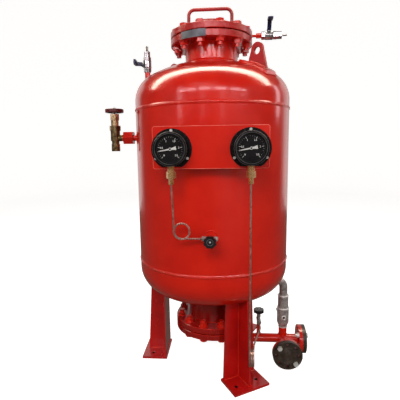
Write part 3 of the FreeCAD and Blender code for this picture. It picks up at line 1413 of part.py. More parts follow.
def angle_valve_bonnet():
    """Bonnet screwed into the body, with the packing nut on top."""
    spigot = size.angle_cavity_radius - size.thread_clearance
    depth = size.union_hex_height / 2
    body = spun("angle_valve_bonnet", [
        (0, BONNET_LOW - depth), (spigot, BONNET_LOW - depth), (spigot, BONNET_LOW),
        (size.angle_bonnet_radius, BONNET_LOW), (size.angle_bonnet_radius, BONNET_TOP), (0, BONNET_TOP),
    ], **at_angle_valve())
    nut = hexagon(new_sketch(body, lift=BONNET_TOP), 0, 0, size.packing_nut_corner)
    pad(body, nut, size.packing_nut_height)
    stem = circle(new_sketch(body, lift=PACKING_TOP), 0, 0, size.angle_stem_radius + size.running_clearance)
    pocket(body, stem, PACKING_TOP - BONNET_LOW + depth)
    return body


def angle_valve_handwheel():
    """Handwheel with a rounded rim and windows in its web, on its stem."""
    low = PACKING_TOP + size.handwheel_lift
    rim = size.handwheel_rim
    height = 2 * rim
    outer = size.handwheel_radius
    inner = outer - rim
    web_low = low + rim - size.handwheel_web / 2
    web_high = web_low + size.handwheel_web
    high = low + height
    edge = size.handwheel_edge
    hub = size.handwheel_hub
    body = spun("angle_valve_handwheel", [
        (0, low), (hub, low), (hub, web_low), (inner, web_low), (inner, low + edge),
        (inner + edge, low, edge), (outer - edge, low), (outer, low + edge, edge),
        (outer, high - edge), (outer - edge, high, edge), (inner + edge, high),
        (inner, high - edge, edge), (inner, web_high), (hub, web_high), (hub, high), (0, high),
    ], **at_angle_valve())
    window = circle(new_sketch(body, lift=web_high), (hub + inner) / 2, 0, size.window_radius)
    polar(body, pocket(body, window, size.handwheel_web), size.handwheel_windows)
    foot = SEAT_HEIGHT + size.disc_thickness + size.seat_clearance
    pad(body, circle(new_sketch(body, lift=foot), 0, 0, size.angle_stem_radius), low - foot)
    return body


def angle_valve_disc():
    """Valve disc with the bush that carries the stem's end."""
    low = SEAT_HEIGHT + size.seat_clearance
    bore = size.angle_stem_radius + size.running_clearance
    bush = size.disc_bush_radius
    top = SEAT_HEIGHT + size.disc_thickness
    bush_top = top + size.disc_bush_height
    return spun("angle_valve_disc", [
        (0, low), (size.disc_radius, low), (size.disc_radius, top), (bush, top), (bush, bush_top),
        (bore, bush_top), (bore, top), (0, top),
    ], **at_angle_valve())


# ---- bottom outlet manifold, its blanked branches and the check valve column -------------

RISER_TOP = size.manifold_height + size.riser_length
BRANCHES = {"right": (size.right_reach, RIGHT), "front": (size.front_reach, FRONT)}


def at_tee(branch):
    return {"x": TEE_X, "y": size.manifold_y, "z": size.manifold_height, "turn": BRANCHES[branch][1]}


def pipe_reach(branch):
    return BRANCHES[branch][0] - size.blank_thickness - size.branch_set_back


def manifold_pipe():
    """Outlet pipe: down from the cover, round the elbow and along to the tee and riser."""
    inner = size.manifold_radius - size.manifold_wall
    path = [
        (0, BOTTOM_COVER_IN), (0, size.manifold_height + size.elbow_bend),
        (size.elbow_bend, size.manifold_height, size.elbow_bend),
        (TEE_X + pipe_reach("right"), size.manifold_height),
    ]
    body = new_body("manifold_pipe", y=size.manifold_y)
    sweep(body, "PartDesign::AdditivePipe", path, size.manifold_radius, BOTTOM_COVER_IN)
    reach = pipe_reach("front")
    branch = circle(new_sketch(body, "XZ_Plane"), TEE_X, size.manifold_height, size.manifold_radius)
    pad(body, branch, reach)
    rise = size.riser_length
    pad(body, circle(new_sketch(body, lift=size.manifold_height), TEE_X, 0, size.riser_radius), rise)
    sweep(body, "PartDesign::SubtractivePipe", path, inner, BOTTOM_COVER_IN)
    pocket(body, circle(new_sketch(body, "XZ_Plane", reach), TEE_X, size.manifold_height, inner), reach)
    pocket(body, circle(new_sketch(body, lift=RISER_TOP), TEE_X, 0, size.column_passage), rise)
    stub = circle(new_sketch(body, lift=size.manifold_height + 2 * size.manifold_radius), LOWER_VALVE_X, 0,
                  size.stub_radius + size.weld_gap)
    pocket(body, stub, 2 * size.manifold_radius)
    return body


def branch_disc(name, branch, low, thickness, bore=None):
    """A round plate on a branch with its ring of bolt holes."""
    body = new_body(name, **at_tee(branch))
    sketch = circle(new_sketch(body, lift=low), 0, 0, size.branch_flange_radius)
    if bore is not None:
        circle(sketch, 0, 0, bore)
    pad(body, sketch, thickness)
    holes = new_sketch(body, lift=low + thickness)
    circle(holes, size.branch_bolt_circle, 0, size.branch_hole_radius)
    polar(body, pocket(body, holes, thickness), size.branch_hole_count)
    return body


def branch_flanges():
    bore = size.manifold_radius + size.weld_gap
    return group("branch_flanges", [
        branch_disc(f"{branch}_flange", branch, reach - size.blank_thickness - size.branch_flange_thickness,
                    size.branch_flange_thickness, bore)
        for branch, (reach, turn) in BRANCHES.items()
    ])


def blank_plates():
    return group("blank_plates", [
        branch_disc(f"{branch}_blank", branch, reach - size.blank_thickness, size.blank_thickness)
        for branch, (reach, turn) in BRANCHES.items()
    ])


def blank_bolts():
    """Two bolts and nuts on each blank, on one diagonal; the other holes stay open."""
    members = []
    ring = size.branch_bolt_circle
    for branch, (reach, turn) in BRANCHES.items():
        back = reach - size.blank_thickness - size.branch_flange_thickness
        bolts = new_body(f"{branch}_blank_bolts", **at_tee(branch))
        nuts = new_body(f"{branch}_blank_nuts", **at_tee(branch))
        heads = new_sketch(bolts, lift=reach)
        shanks = new_sketch(bolts, lift=back - size.branch_nut_height - size.branch_bolt_end)
        rings = new_sketch(nuts, lift=back - size.branch_nut_height)
        for angle in (size.branch_bolt_angle, size.branch_bolt_angle + 180):
            x = ring * cosine(angle)
            y = ring * sine(angle)
            hexagon(heads, x, y, size.branch_head_corner)
            circle(shanks, x, y, size.branch_bolt_radius)
            hexagon(rings, x, y, size.branch_head_corner)
            circle(rings, x, y, size.branch_bolt_radius + size.thread_clearance)
        pad(bolts, heads, size.branch_head_height)
        pad(bolts, shanks, reach - back + size.branch_nut_height + size.branch_bolt_end)
        pad(nuts, rings, size.branch_nut_height)
        members += [bolts, nuts]
    return group("blank_bolts", members)


COLUMN_TOP = RISER_TOP + size.column_length
MIDDLE_TOP = COLUMN_TOP + size.middle_length
NIPPLE_TOP = LOWER_SEAM - size.nipple_drop
COLUMN_SEAT = RISER_TOP + size.seat_rise


def at_column():
    return {"x": TEE_X, "y": size.manifold_y}


def column_body():
    """Stepped check valve column on the riser; its nipple is cut to the bottom head."""
    cavity_top = COLUMN_SEAT + size.poppet_height + size.spring_length
    out = size.column_band_out
    ring = size.riser_radius + out
    wide = size.column_radius
    middle = size.middle_radius
    lower_band = COLUMN_TOP - size.column_band
    upper_band = MIDDLE_TOP - size.column_band
    taper_low = RISER_TOP + size.column_ring
    blank = spun("column_blank", [
        (size.column_passage, RISER_TOP), (ring, RISER_TOP), (ring, taper_low),
        (wide, taper_low + size.column_taper), (wide, lower_band), (wide + out, lower_band),
        (wide + out, COLUMN_TOP), (middle, COLUMN_TOP), (middle, upper_band),
        (middle + out, upper_band), (middle + out, MIDDLE_TOP), (0, MIDDLE_TOP), (0, cavity_top),
        (size.column_bore, cavity_top),
        (size.column_bore, COLUMN_SEAT), (size.column_passage, COLUMN_SEAT),
    ], **at_column())
    bend = size.nipple_bend
    run = size.nipple_run
    end_x = -bend * (1 - cosine(size.nipple_turn))
    end_z = NIPPLE_TOP + bend * sine(size.nipple_turn)
    path = [
        (0, cavity_top), (0, NIPPLE_TOP), (end_x, end_z, bend),
        (end_x - run * sine(size.nipple_turn), end_z + run * cosine(size.nipple_turn)),
    ]
    nub_far = wide + size.column_nub_out
    nub_z = RISER_TOP + size.column_nub_rise
    nub = circle(new_sketch(blank, "YZ_Plane", -nub_far), 0, nub_z, size.column_nub_radius)
    pad(blank, nub, size.column_nub_out + size.column_port_depth)
    port_z = RISER_TOP + size.column_port_rise
    port = circle(new_sketch(blank, "XZ_Plane", wide), 0, port_z, size.column_port_radius)
    pocket(blank, port, size.column_port_depth)
    sweep(blank, "PartDesign::AdditivePipe", path, size.nipple_radius, cavity_top)
    sweep(blank, "PartDesign::SubtractivePipe", path, size.column_passage, cavity_top)
    envelope = new_body("head_envelope")
    revolve(envelope, inside_dome(envelope, LOWER_SEAM, -1, size.weld_gap))
    cut = doc.addObject("Part::Cut", "column_body")
    cut.Label = "column_body"
    cut.Base = blank
    cut.Tool = envelope
    doc.recompute()
    return cut


def column_poppet():
    """Spring-loaded poppet on its seat."""
    low = COLUMN_SEAT + size.seat_clearance
    top = COLUMN_SEAT + size.poppet_height
    return spun("column_poppet", [
        (0, low), (size.poppet_radius, low), (size.poppet_radius, top), (size.poppet_stem_radius, top),
        (size.poppet_stem_radius, top + size.poppet_stem_length), (0, top + size.poppet_stem_length),
    ], **at_column())


def column_spring():
    """Coil spring between the poppet and the roof of its chamber."""
    wire = sheet.spring_wire
    end = wire + sheet.spring_end_gap
    low = COLUMN_SEAT.number + sheet.poppet_height + end
    rise = sheet.spring_length - 2 * end
    helix = Part.makeHelix(rise / sheet.spring_turns, rise, sheet.spring_radius)
    section = Part.Wire([Part.Circle(Vector(sheet.spring_radius, 0, 0), Vector(0, 1, 0), wire).toShape()])
    spring = doc.addObject("Part::Feature", "column_spring")
    spring.Label = "column_spring"
    spring.Shape = Part.Wire(helix).makePipeShell([section], True, True)
    return place(spring, TEE_X, size.manifold_y, low)


# ---- finish: check every object, then write the sub-parts ------------------------------

PIECES = [
    shell_barrel(), head("top_head", "top"), head("bottom_head", "bottom"),
    neck("top_neck", "top"), neck("bottom_neck", "bottom"),
    flange("top_flange", "top"), flange("bottom_flange", "bottom"), flange_gaskets(),
    top_cover(), bottom_cover(), flange_bolts(), flange_nuts(), blank_strip(), cover_handle(),
    bladder(), perforated_pipe(),
    lug("front_lug", size.lug_azimuth), lug("rear_lug", size.lug_azimuth + 180), lug_pads(),
    leg("leg_front", size.leg_front_azimuth), leg("leg_left", size.leg_left_azimuth),
    leg("leg_rear", size.leg_rear_azimuth),
    foot("foot_front", size.leg_front_azimuth), foot("foot_left", size.leg_left_azimuth),
    foot("foot_rear", size.leg_rear_azimuth),
    gauge_panel(), panel_brackets(), gauge_case("left"), gauge_case("right"), gauge_bezels(),
    gauge_plates("gauge_dials", size.gauge_case_radius - size.gauge_case_wall - size.dial_gap,
                 size.dial_height, size.dial_thickness, size.dial_bore),
    gauge_plates("gauge_lenses", size.gauge_case_radius - size.gauge_case_wall / 2, size.gauge_depth,
                 size.lens_thickness),
    pointer("left"), pointer("right"), gauge_screws(), gauge_sockets(), union_nuts(),
    left_siphon_tube(), right_siphon_tube(),
    shell_boss(), group("needle_valve_bodies", [needle_valve(side) for side in SIDES]),
    needle_knob("left"), needle_knob("right"),
    group("valve_sockets", [vent_socket(), bleed_socket(), front_stub(), lower_stub()]),
    group("ball_valve_bodies", [ball_valve_body(name) for name in BALL_VALVES]),
    ball_lever("vent"), ball_lever("bleed"), hose_barbs(),
    side_branch(), angle_valve_body(), angle_valve_bonnet(), angle_valve_handwheel(), angle_valve_disc(),
    manifold_pipe(), branch_flanges(), blank_plates(), blank_bolts(),
    column_body(), column_poppet(), column_spring(),
]

doc.recompute()
for thing in doc.Objects:
    if "Invalid" in thing.State or "Error" in thing.State:
        raise ValueError(f"{thing.Label} failed: {thing.State}")
for piece in PIECES:
    if piece.Shape.isNull() or not piece.Shape.isValid():
        raise ValueError(f"{piece.Label} has no valid shape")

os.makedirs("parts", exist_ok=True)
for piece in PIECES:
    piece.Shape.exportStep(f"parts/{piece.Label}.step")
    print(piece.Label, len(piece.Shape.Solids), round(piece.Shape.Volume))
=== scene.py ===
# %% [markdown]
# # A red bladder pressure tank
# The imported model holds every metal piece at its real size.  This lesson gives those pieces
# their finishes, adds the fine things that are too small for the model, such as dial marks,
# weld ripples and threads, and sets up a plain studio round the tank.

# %% Load the fixed frame
import json
import math
import random
import bmesh
import bpy
from mathutils import Matrix, Vector


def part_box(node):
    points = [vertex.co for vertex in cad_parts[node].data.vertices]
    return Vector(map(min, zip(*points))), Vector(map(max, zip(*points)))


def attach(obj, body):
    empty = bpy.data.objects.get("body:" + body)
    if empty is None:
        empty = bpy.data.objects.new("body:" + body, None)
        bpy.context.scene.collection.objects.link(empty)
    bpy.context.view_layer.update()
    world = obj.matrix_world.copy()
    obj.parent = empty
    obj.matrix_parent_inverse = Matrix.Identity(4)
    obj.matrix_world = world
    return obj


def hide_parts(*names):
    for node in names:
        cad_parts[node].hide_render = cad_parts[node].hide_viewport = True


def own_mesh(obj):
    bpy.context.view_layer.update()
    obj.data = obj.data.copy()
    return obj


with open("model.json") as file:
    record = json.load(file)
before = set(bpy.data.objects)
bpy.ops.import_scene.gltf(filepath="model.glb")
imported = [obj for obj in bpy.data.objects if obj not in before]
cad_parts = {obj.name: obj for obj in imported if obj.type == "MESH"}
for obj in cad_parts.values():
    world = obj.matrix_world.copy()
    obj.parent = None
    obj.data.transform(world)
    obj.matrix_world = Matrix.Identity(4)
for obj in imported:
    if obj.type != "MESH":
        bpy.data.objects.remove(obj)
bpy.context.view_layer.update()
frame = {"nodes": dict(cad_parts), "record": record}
nodes = frame["nodes"]
slot_of = {row["node"]: row["material_slot"] for row in frame["record"]["subparts"]}

# %% [markdown]
# ## Camera
# A camera is placed by the three directions it sees along: right, up and forward.  The aim is
# given here as yaw, pitch and roll, because those are the angles a photographer would read off
# a tripod head, and the small roll is what a hand-held camera leaves.

# %% Camera
CAMERA_PLACE = Vector((0.0566, -1.5756, 0.9474))
CAMERA_YAW = math.radians(-4.111)
CAMERA_PITCH = math.radians(8.063)
CAMERA_ROLL = math.radians(-0.741)
LENS_MM, SENSOR_MM = 31.985, 36
FAR_END = 50


def place_camera():
    forward = Vector((
        math.sin(CAMERA_YAW) * math.cos(CAMERA_PITCH),
        math.cos(CAMERA_YAW) * math.cos(CAMERA_PITCH),
        -math.sin(CAMERA_PITCH),
    ))
    level = Vector((math.cos(CAMERA_YAW), -math.sin(CAMERA_YAW), 0))
    upright = level.cross(forward)
    right = level * math.cos(CAMERA_ROLL) + upright * math.sin(CAMERA_ROLL)
    up = upright * math.cos(CAMERA_ROLL) - level * math.sin(CAMERA_ROLL)
    data = bpy.data.cameras.new("camera")
    data.lens = LENS_MM
    data.sensor_width = SENSOR_MM
    data.clip_end = FAR_END
    camera = bpy.data.objects.new("camera", data)
    bpy.context.scene.collection.objects.link(camera)
    turn = Matrix((right, up, -forward)).transposed()
    camera.matrix_world = Matrix.Translation(CAMERA_PLACE) @ turn.to_4x4()
    bpy.context.scene.camera = camera
    return camera


camera = place_camera()
print("camera at", tuple(round(v, 3) for v in camera.location))

# %% [markdown]
# ## Helpers for finishes
# Every finish is a Principled shader fed by a few procedural nodes.  All of them read Object
# coordinates, which stay with the metal when a valve turns, so a speck of paint never slides.

# %% Finish helpers
def linear(red, green, blue):
    """A colour given as 0 to 255 screen values, as the linear numbers a shader wants."""
    values = []
    for value in (red, green, blue):
        share = value / 255
        values.append(share / 12.92 if share <= 0.04045 else ((share + 0.055) / 1.055) ** 2.4)
    return (*values, 1)


def new_finish(name, roughness, metallic=0.0):
    finish = bpy.data.materials.new(name)
    finish.use_nodes = True
    tree = finish.node_tree
    shader = tree.nodes["Principled BSDF"]
    shader.inputs["Roughness"].default_value = roughness
    shader.inputs["Metallic"].default_value = metallic
    return finish, tree, shader


def grain(tree, size, detail=2.0, stretch=(1, 1, 1)):
    """Noise whose blotches are about `size` metres across, drawn out by `stretch`."""
    place = tree.nodes.new("ShaderNodeTexCoord")
    turn = tree.nodes.new("ShaderNodeMapping")
    noise = tree.nodes.new("ShaderNodeTexNoise")
    turn.inputs["Scale"].default_value = stretch
    noise.inputs["Scale"].default_value = 1 / size
    noise.inputs["Detail"].default_value = detail
    tree.links.new(place.outputs["Object"], turn.inputs["Vector"])
    tree.links.new(turn.outputs["Vector"], noise.inputs["Vector"])
    return noise.outputs["Fac"]


def shades(tree, amount, stops):
    """Colours laid along a 0 to 1 amount, as (place, colour) stops."""
    ramp = tree.nodes.new("ShaderNodeValToRGB")
    marks = ramp.color_ramp.elements
    while len(marks) < len(stops):
        marks.new(0.5)
    for mark, (place, colour) in zip(marks, stops):
        mark.position = place
        mark.color = colour
    tree.links.new(amount, ramp.inputs["Fac"])
    return ramp.outputs["Color"]


def spread(tree, amount, low, high):
    """Stretches the middle of a noise over the range from low to high."""
    fit = tree.nodes.new("ShaderNodeMapRange")
    fit.inputs["From Min"].default_value = 0.3
    fit.inputs["From Max"].default_value = 0.7
    fit.inputs["To Min"].default_value = low
    fit.inputs["To Max"].default_value = high
    tree.links.new(amount, fit.inputs["Value"])
    return fit.outputs["Result"]


def relief(tree, shader, amount, depth):
    """Adds a bump of `depth` metres on top of any bump the shader already has."""
    bump = tree.nodes.new("ShaderNodeBump")
    bump.inputs["Distance"].default_value = depth
    tree.links.new(amount, bump.inputs["Height"])
    for link in list(tree.links):
        if link.to_socket == shader.inputs["Normal"]:
            tree.links.new(link.from_socket, bump.inputs["Normal"])
    tree.links.new(bump.outputs["Normal"], shader.inputs["Normal"])


print("finish helpers ready")

# %% [markdown]
# ## Red enamel
# The tank is sprayed with thick gloss enamel.  Close to, such paint isn't flat: it has an
# orange-peel ripple that breaks long reflections into specks, and it lies heavier on rough
# castings than on rolled plate.  One recipe makes each coat, with the ripple's size and depth
# as its settings, so that shell, flanges and lugs differ as they do on the real tank.  Some
# coats also take a darker red, which is painted shade.

# %% Red enamel
RED_DEEP = linear(192, 20, 5)
RED_MID = linear(200, 24, 7)
RED_LIGHT = linear(207, 29, 9)


def red_enamel(name, roughness, coat, ripples, colours=(RED_DEEP, RED_MID, RED_LIGHT)):
    finish, tree, shader = new_finish(name, roughness)
    blotch = grain(tree, 0.11, 3.0)
    tree.links.new(
        shades(tree, blotch, [(0.3, colours[0]), (0.5, colours[1]), (0.72, colours[2])]),
        shader.inputs["Base Color"],
    )
    smear = grain(tree, 0.05, 4.0, (1, 1, 0.5))
    tree.links.new(spread(tree, smear, roughness - 0.03, roughness + 0.04), shader.inputs["Roughness"])
    shader.inputs["Coat Weight"].default_value = coat
    shader.inputs["Coat Roughness"].default_value = 0.06
    for size, depth in ripples:
        relief(tree, shader, grain(tree, size, 1.0), depth)
    return finish


plate_red = red_enamel("plate red enamel", 0.19, 0.35, [(0.012, 0.00026), (0.005, 0.00026)])
cast_red = red_enamel("casting red enamel", 0.22, 0.4, [(0.01, 0.0007), (0.005, 0.0007)])
bolt_red = red_enamel("bolt red enamel", 0.26, 0.3, [(0.006, 0.0005)])
# A darker copy of the red for the top flange and cover: painted shade.
flange_shaded_red = red_enamel(
    "red enamel for flanges, with painted shade", 0.27, 0.2, [(0.01, 0.0006), (0.005, 0.0004)],
    (linear(158, 14, 12), linear(170, 18, 16), linear(182, 24, 22)),
)
# A darker copy of the red for the bottom neck, flange and cover: painted shade from the tank above them.
painted_shade_red = red_enamel(
    "bottom red enamel with painted shade", 0.26, 0.3, [(0.01, 0.0006)],
    (linear(132, 12, 8), linear(148, 15, 10), linear(160, 19, 13)),
)
# A darker, cooler copy of the red for the legs and feet: painted shade on the low parts.
leg_shaded_red = red_enamel(
    "red enamel for legs, with painted shade", 0.24, 0.5, [(0.012, 0.0003), (0.004, 0.00008)],
    (linear(158, 10, 8), linear(176, 13, 11), linear(188, 17, 14)),
)
# A duller matte red for the lugs; the cover's handle takes it too, and there its darker colour is
# painted shade.
dull_red = red_enamel(
    "lug red enamel", 0.46, 0.1, [(0.012, 0.0005)],
    (linear(140, 12, 16), linear(168, 22, 26), linear(184, 34, 36)),
)
print("red enamel coats:", plate_red.name, cast_red.name, dull_red.name)

# %% [markdown]
# ## Metals
# Turned, drawn and cast metals differ mostly in how their tool marks run.  Stretching a noise
# along one axis draws those marks, and a second, even noise gives stains and handling marks.

# %% Metals
def bare_metal(
    name, colours, roughness, marks=(0.003, (1, 1, 1)), mark_depth=0.00003, stain=0.02, shine=1.0,
):
    """Metal with stains and tool marks; `shine` under 1 gives it the haze of a blasted skin."""
    finish, tree, shader = new_finish(name, roughness, shine)
    stains = grain(tree, stain, 4.0)
    tree.links.new(
        shades(tree, stains, [(0.3, colours[0]), (0.5, colours[1]), (0.7, colours[2])]),
        shader.inputs["Base Color"],
    )
    size, stretch = marks
    tool = grain(tree, size, 2.0, stretch)
    tree.links.new(spread(tree, tool, roughness * 0.75, roughness * 1.35), shader.inputs["Roughness"])
    relief(tree, shader, tool, mark_depth)
    return finish


def greys(*values):
    return [linear(*value) for value in values]


brass = bare_metal(
    "machined brass", greys((206, 154, 96), (234, 184, 124), (250, 212, 158)), 0.24,
    (0.002, (1, 1, 6)), shine=0.88,
)
bonnet_bronze = bare_metal(
    "turned bronze", greys((150, 126, 86), (206, 180, 136), (244, 222, 186)), 0.26,
    (0.0035, (1, 1, 5)), 0.0002, 0.01, 0.8,
)
old_bronze = bare_metal(
    "cast bronze", greys((78, 64, 40), (132, 114, 78), (178, 160, 118)), 0.32, (0.0035, (1, 1, 1)),
    0.0003, 0.02, 0.92,
)
chrome = bare_metal(
    "chromed brass", greys((138, 139, 142), (168, 169, 171), (196, 196, 196)), 0.14,
    (0.006, (1, 1, 1)), 0.00006, shine=0.8,
)
# The tube steel's pinkish tint is a painted reflection of the red tank.
tube_steel = bare_metal(
    "tube steel with painted red reflection", greys((138, 106, 98), (164, 132, 123), (190, 160, 151)), 0.28,
    (0.004, (1, 1, 0.2)), 0.00001, shine=0.62,
)
valve_steel = bare_metal(
    "valve steel", greys((140, 137, 135), (182, 180, 178), (212, 210, 208)), 0.24, (0.002, (1, 1, 4)),
    shine=0.7,
)
column_steel = bare_metal(
    "blasted stainless", greys((158, 153, 152), (196, 191, 190), (222, 218, 216)), 0.3,
    (0.0022, (1, 1, 1)), 0.00012, 0.014, 0.72,
)
zinc = bare_metal(
    "zinc plate", greys((176, 176, 172), (206, 206, 202), (226, 226, 222)), 0.34,
    (0.0018, (1, 1, 1)), 0.00008, 0.006, 0.4,
)
brushed_aluminium = bare_metal(
    "brushed aluminium", greys((84, 88, 96), (100, 104, 112), (118, 122, 129)), 0.45,
    (0.0012, (1, 1, 14)), 0.00003, 0.03, 0.7,
)
spring_steel = bare_metal("spring steel", greys((150, 150, 152), (180, 180, 182), (200, 200, 202)), 0.25)
core_steel = bare_metal(
    "perforated stainless", greys((160, 160, 162), (188, 188, 190), (206, 206, 208)), 0.35,
    (0.002, (1, 1, 0.1)),
)
print("metals:", brass.name, old_bronze.name, chrome.name, tube_steel.name, column_steel.name)

# %% [markdown]
# ## Paints, plastics, rubber and glass
# The small parts are stove enamel, phenolic, vinyl dip and rubber.  Each one gets a colour that
# drifts slightly, a roughness that carries finger marks, and a grain at its own scale.

# %% Paints and plastics
def coated(name, colours, roughness, grain_size, grain_depth, blotch=0.02, coat=0.0, gleam=0.5):
    finish, tree, shader = new_finish(name, roughness)
    tree.links.new(
        shades(tree, grain(tree, blotch, 3.0), [(0.32, colours[0]), (0.68, colours[1])]),
        shader.inputs["Base Color"],
    )
    marks = grain(tree, blotch * 0.7, 5.0)
    tree.links.new(spread(tree, marks, roughness - 0.07, roughness + 0.09), shader.inputs["Roughness"])
    relief(tree, shader, grain(tree, grain_size, 2.0), grain_depth)
    shader.inputs["Specular IOR Level"].default_value = gleam
    shader.inputs["Coat Weight"].default_value = coat
    shader.inputs["Coat Roughness"].default_value = 0.08
    return finish


gauge_black = coated(
    "gauge stove enamel", greys((4, 4, 5), (10, 10, 11)), 0.24, 0.0025, 0.00008, coat=0.1, gleam=0.35,
)
dial_black = coated("dial matte black", greys((5, 5, 6), (10, 10, 12)), 0.45, 0.001, 0.00001, gleam=0.2)
mark_white = coated("dial white", greys((232, 232, 230), (250, 250, 248)), 0.5, 0.001, 0.00001)
knob_black = coated("phenolic black", greys((12, 12, 15), (26, 26, 32)), 0.22, 0.003, 0.00004, coat=0.5)
lever_navy = coated("navy vinyl dip", greys((10, 16, 46), (20, 30, 78)), 0.34, 0.003, 0.00006)
wheel_maroon = coated("maroon enamel", greys((66, 10, 13), (98, 16, 18)), 0.34, 0.004, 0.0002, coat=0.3)
blank_brown = coated(
    "phosphated steel", greys((34, 27, 22), (62, 51, 42)), 0.4, 0.0035, 0.00012, 0.012,
)
gasket_black = coated("gasket rubber", greys((22, 22, 22), (36, 36, 36)), 0.7, 0.0015, 0.00008)
bladder_black = coated("bladder rubber", greys((18, 18, 20), (30, 30, 33)), 0.62, 0.004, 0.0001, 0.06)


def clear_glass():
    finish, tree, shader = new_finish("lens glass", 0.03)
    shader.inputs["Alpha"].default_value = 0.12
    shader.inputs["IOR"].default_value = 1.5
    film = grain(tree, 0.02, 4.0)
    tree.links.new(spread(tree, film, 0.01, 0.05), shader.inputs["Roughness"])
    tree.links.new(
        shades(tree, film, [(0.3, (0.01, 0.012, 0.012, 1)), (0.7, (0.03, 0.03, 0.032, 1))]),
        shader.inputs["Base Color"],
    )
    return finish


lens_glass = clear_glass()
print("coatings:", gauge_black.name, knob_black.name, lever_navy.name, blank_brown.name)

# %% [markdown]
# ## Finishes on the imported pieces
# Most pieces take the finish of the material they are made of.  A few take their own coat,
# because castings, bolts and legs were sprayed differently from the rolled shell; the darker
# reds of the top flange and cover, the bottom castings, the legs and the handle are painted
# shade.

# %% Give every imported piece its finish
FINISH_OF_SLOT = {
    "red_paint": plate_red, "bare_strip": brushed_aluminium, "rubber_lining": bladder_black,
    "rubber_gasket": gasket_black, "core_steel": core_steel, "gauge_black": gauge_black,
    "dial_black": dial_black, "lens_glass": lens_glass, "pointer_white": mark_white,
    "zinc_steel": zinc, "light_brass": brass, "tube_steel": tube_steel, "needle_steel": valve_steel,
    "knob_black": knob_black, "valve_chrome": chrome, "lever_navy": lever_navy,
    "dark_brass": old_bronze, "wheel_maroon": wheel_maroon, "blank_dark": blank_brown,
    "column_steel": column_steel, "spring_steel": spring_steel,
}
OWN_FINISH = {}
for finish, names in (
    (cast_red, "top_neck manifold_pipe branch_flanges"),
    (flange_shaded_red, "top_flange top_cover"),
    (painted_shade_red, "bottom_neck bottom_flange bottom_cover"),
    (bolt_red, "flange_bolts flange_nuts"),
    (bonnet_bronze, "angle_valve_bonnet"),
    (dull_red, "front_lug rear_lug cover_handle"),
    (leg_shaded_red, "leg_front leg_left leg_rear foot_front foot_left foot_rear"),
):
    OWN_FINISH.update(dict.fromkeys(names.split(), finish))
for name, node in nodes.items():
    finish = OWN_FINISH.get(name, FINISH_OF_SLOT[slot_of[name]])
    node.data.materials.clear()
    node.data.materials.append(finish)
print("finished", len(nodes), "packed pieces")

# %% [markdown]
# ## Tools for the fine pieces
# Most small hardware is turned, so one helper spins an outline about an axis as a lathe does.
# Lengths below are in millimetres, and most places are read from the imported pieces' boxes.

# %% Units, directions and places
MM = 0.001
UP, DOWN, FRONT = (0, 0, 1), (0, 0, -1), (0, -1, 0)
LEFT, RIGHT = (-1, 0, 0), (1, 0, 0)
chance = random.Random(7)


def low_of(node):
    return [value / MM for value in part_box(node)[0]]


def high_of(node):
    return [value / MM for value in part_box(node)[1]]


def middle(node):
    low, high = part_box(node)
    return [(a + b) / 2 / MM for a, b in zip(low, high)]


print("dome top", round(high_of("top_head")[2], 1), "mm")

# %% Lathe and hexagon
def as_mesh(part, name="part"):
    data = bpy.data.meshes.new(name)
    part.to_mesh(data)
    part.free()
    return data


def stand(part, place, axis):
    """Moves work made along Z so that it stands at `place` and points along `axis`."""
    turn = Vector(axis).to_track_quat("Z", "Y").to_matrix().to_4x4()
    seat = Matrix.Translation(Vector(place) * MM) @ turn @ Matrix.Scale(MM, 4)
    bmesh.ops.transform(part, matrix=seat, verts=part.verts[:])


def lathe(outline, place, axis=UP, steps=40):
    """Spins (radius, height) points; an outline that starts on the axis is left open there."""
    part = bmesh.new()
    corners = [part.verts.new((radius, 0, height)) for radius, height in outline]
    ends = corners[1:] + corners[:1] if outline[0][0] > 0 else corners[1:]
    edges = [part.edges.new(pair) for pair in zip(corners, ends)]
    bmesh.ops.spin(
        part, geom=corners + edges, cent=(0, 0, 0), axis=UP, angle=math.tau, steps=steps,
        use_merge=True,
    )
    bmesh.ops.remove_doubles(part, verts=part.verts[:], dist=0.0005)
    bmesh.ops.recalc_face_normals(part, faces=part.faces[:])
    stand(part, place, axis)
    return as_mesh(part)


def soften(part, width, segments):
    bmesh.ops.bevel(
        part, geom=part.edges[:], offset=width, segments=segments, profile=0.5, affect="EDGES",
        material=-1,
    )


def hexagon(corner, height, place, axis=UP, chamfer=0.6):
    part = bmesh.new()
    bmesh.ops.create_cone(
        part, cap_ends=True, segments=6, radius1=corner, radius2=corner, depth=height,
    )
    bmesh.ops.translate(part, verts=part.verts[:], vec=(0, 0, height / 2))
    soften(part, chamfer, 2)
    stand(part, place, axis)
    return as_mesh(part)


print("lathe and hexagon ready")

# %% [markdown]
# ## Joining and riding
# Shapes of one finish are joined into one named piece, because a real washer or nut is one of
# many alike.  Each piece is told which body it rides on and which material it belongs to.

# %% Join shapes into a piece
def place_piece(name, data, body):
    piece = bpy.data.objects.new(name, data)
    bpy.context.scene.collection.objects.link(piece)
    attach(piece, body)
    return piece


def join_up(name, meshes, finish, body, sharp=35):
    """One named piece from several shapes, shaded smooth up to `sharp` degrees."""
    whole = bmesh.new()
    for data in meshes:
        whole.from_mesh(data)
    data = as_mesh(whole, name)
    data.shade_smooth()
    data.set_sharp_from_angle(angle=math.radians(sharp))
    data.materials.append(finish)
    return place_piece(name, data, body)


print("joining ready")

# %% [markdown]
# ## Weld beads
# The shell is rolled plate with a dished head welded to each end, and necks, lugs, pads, legs
# and feet are welded on by hand.  Under the enamel each bead still shows as a row of overlapping
# puddles that catch the light.  It could be a bump in the paint, but a bump has no outline, so
# a curve with a round bevel gives the bead its body, and a small random change of radius at
# every point gives the puddles.

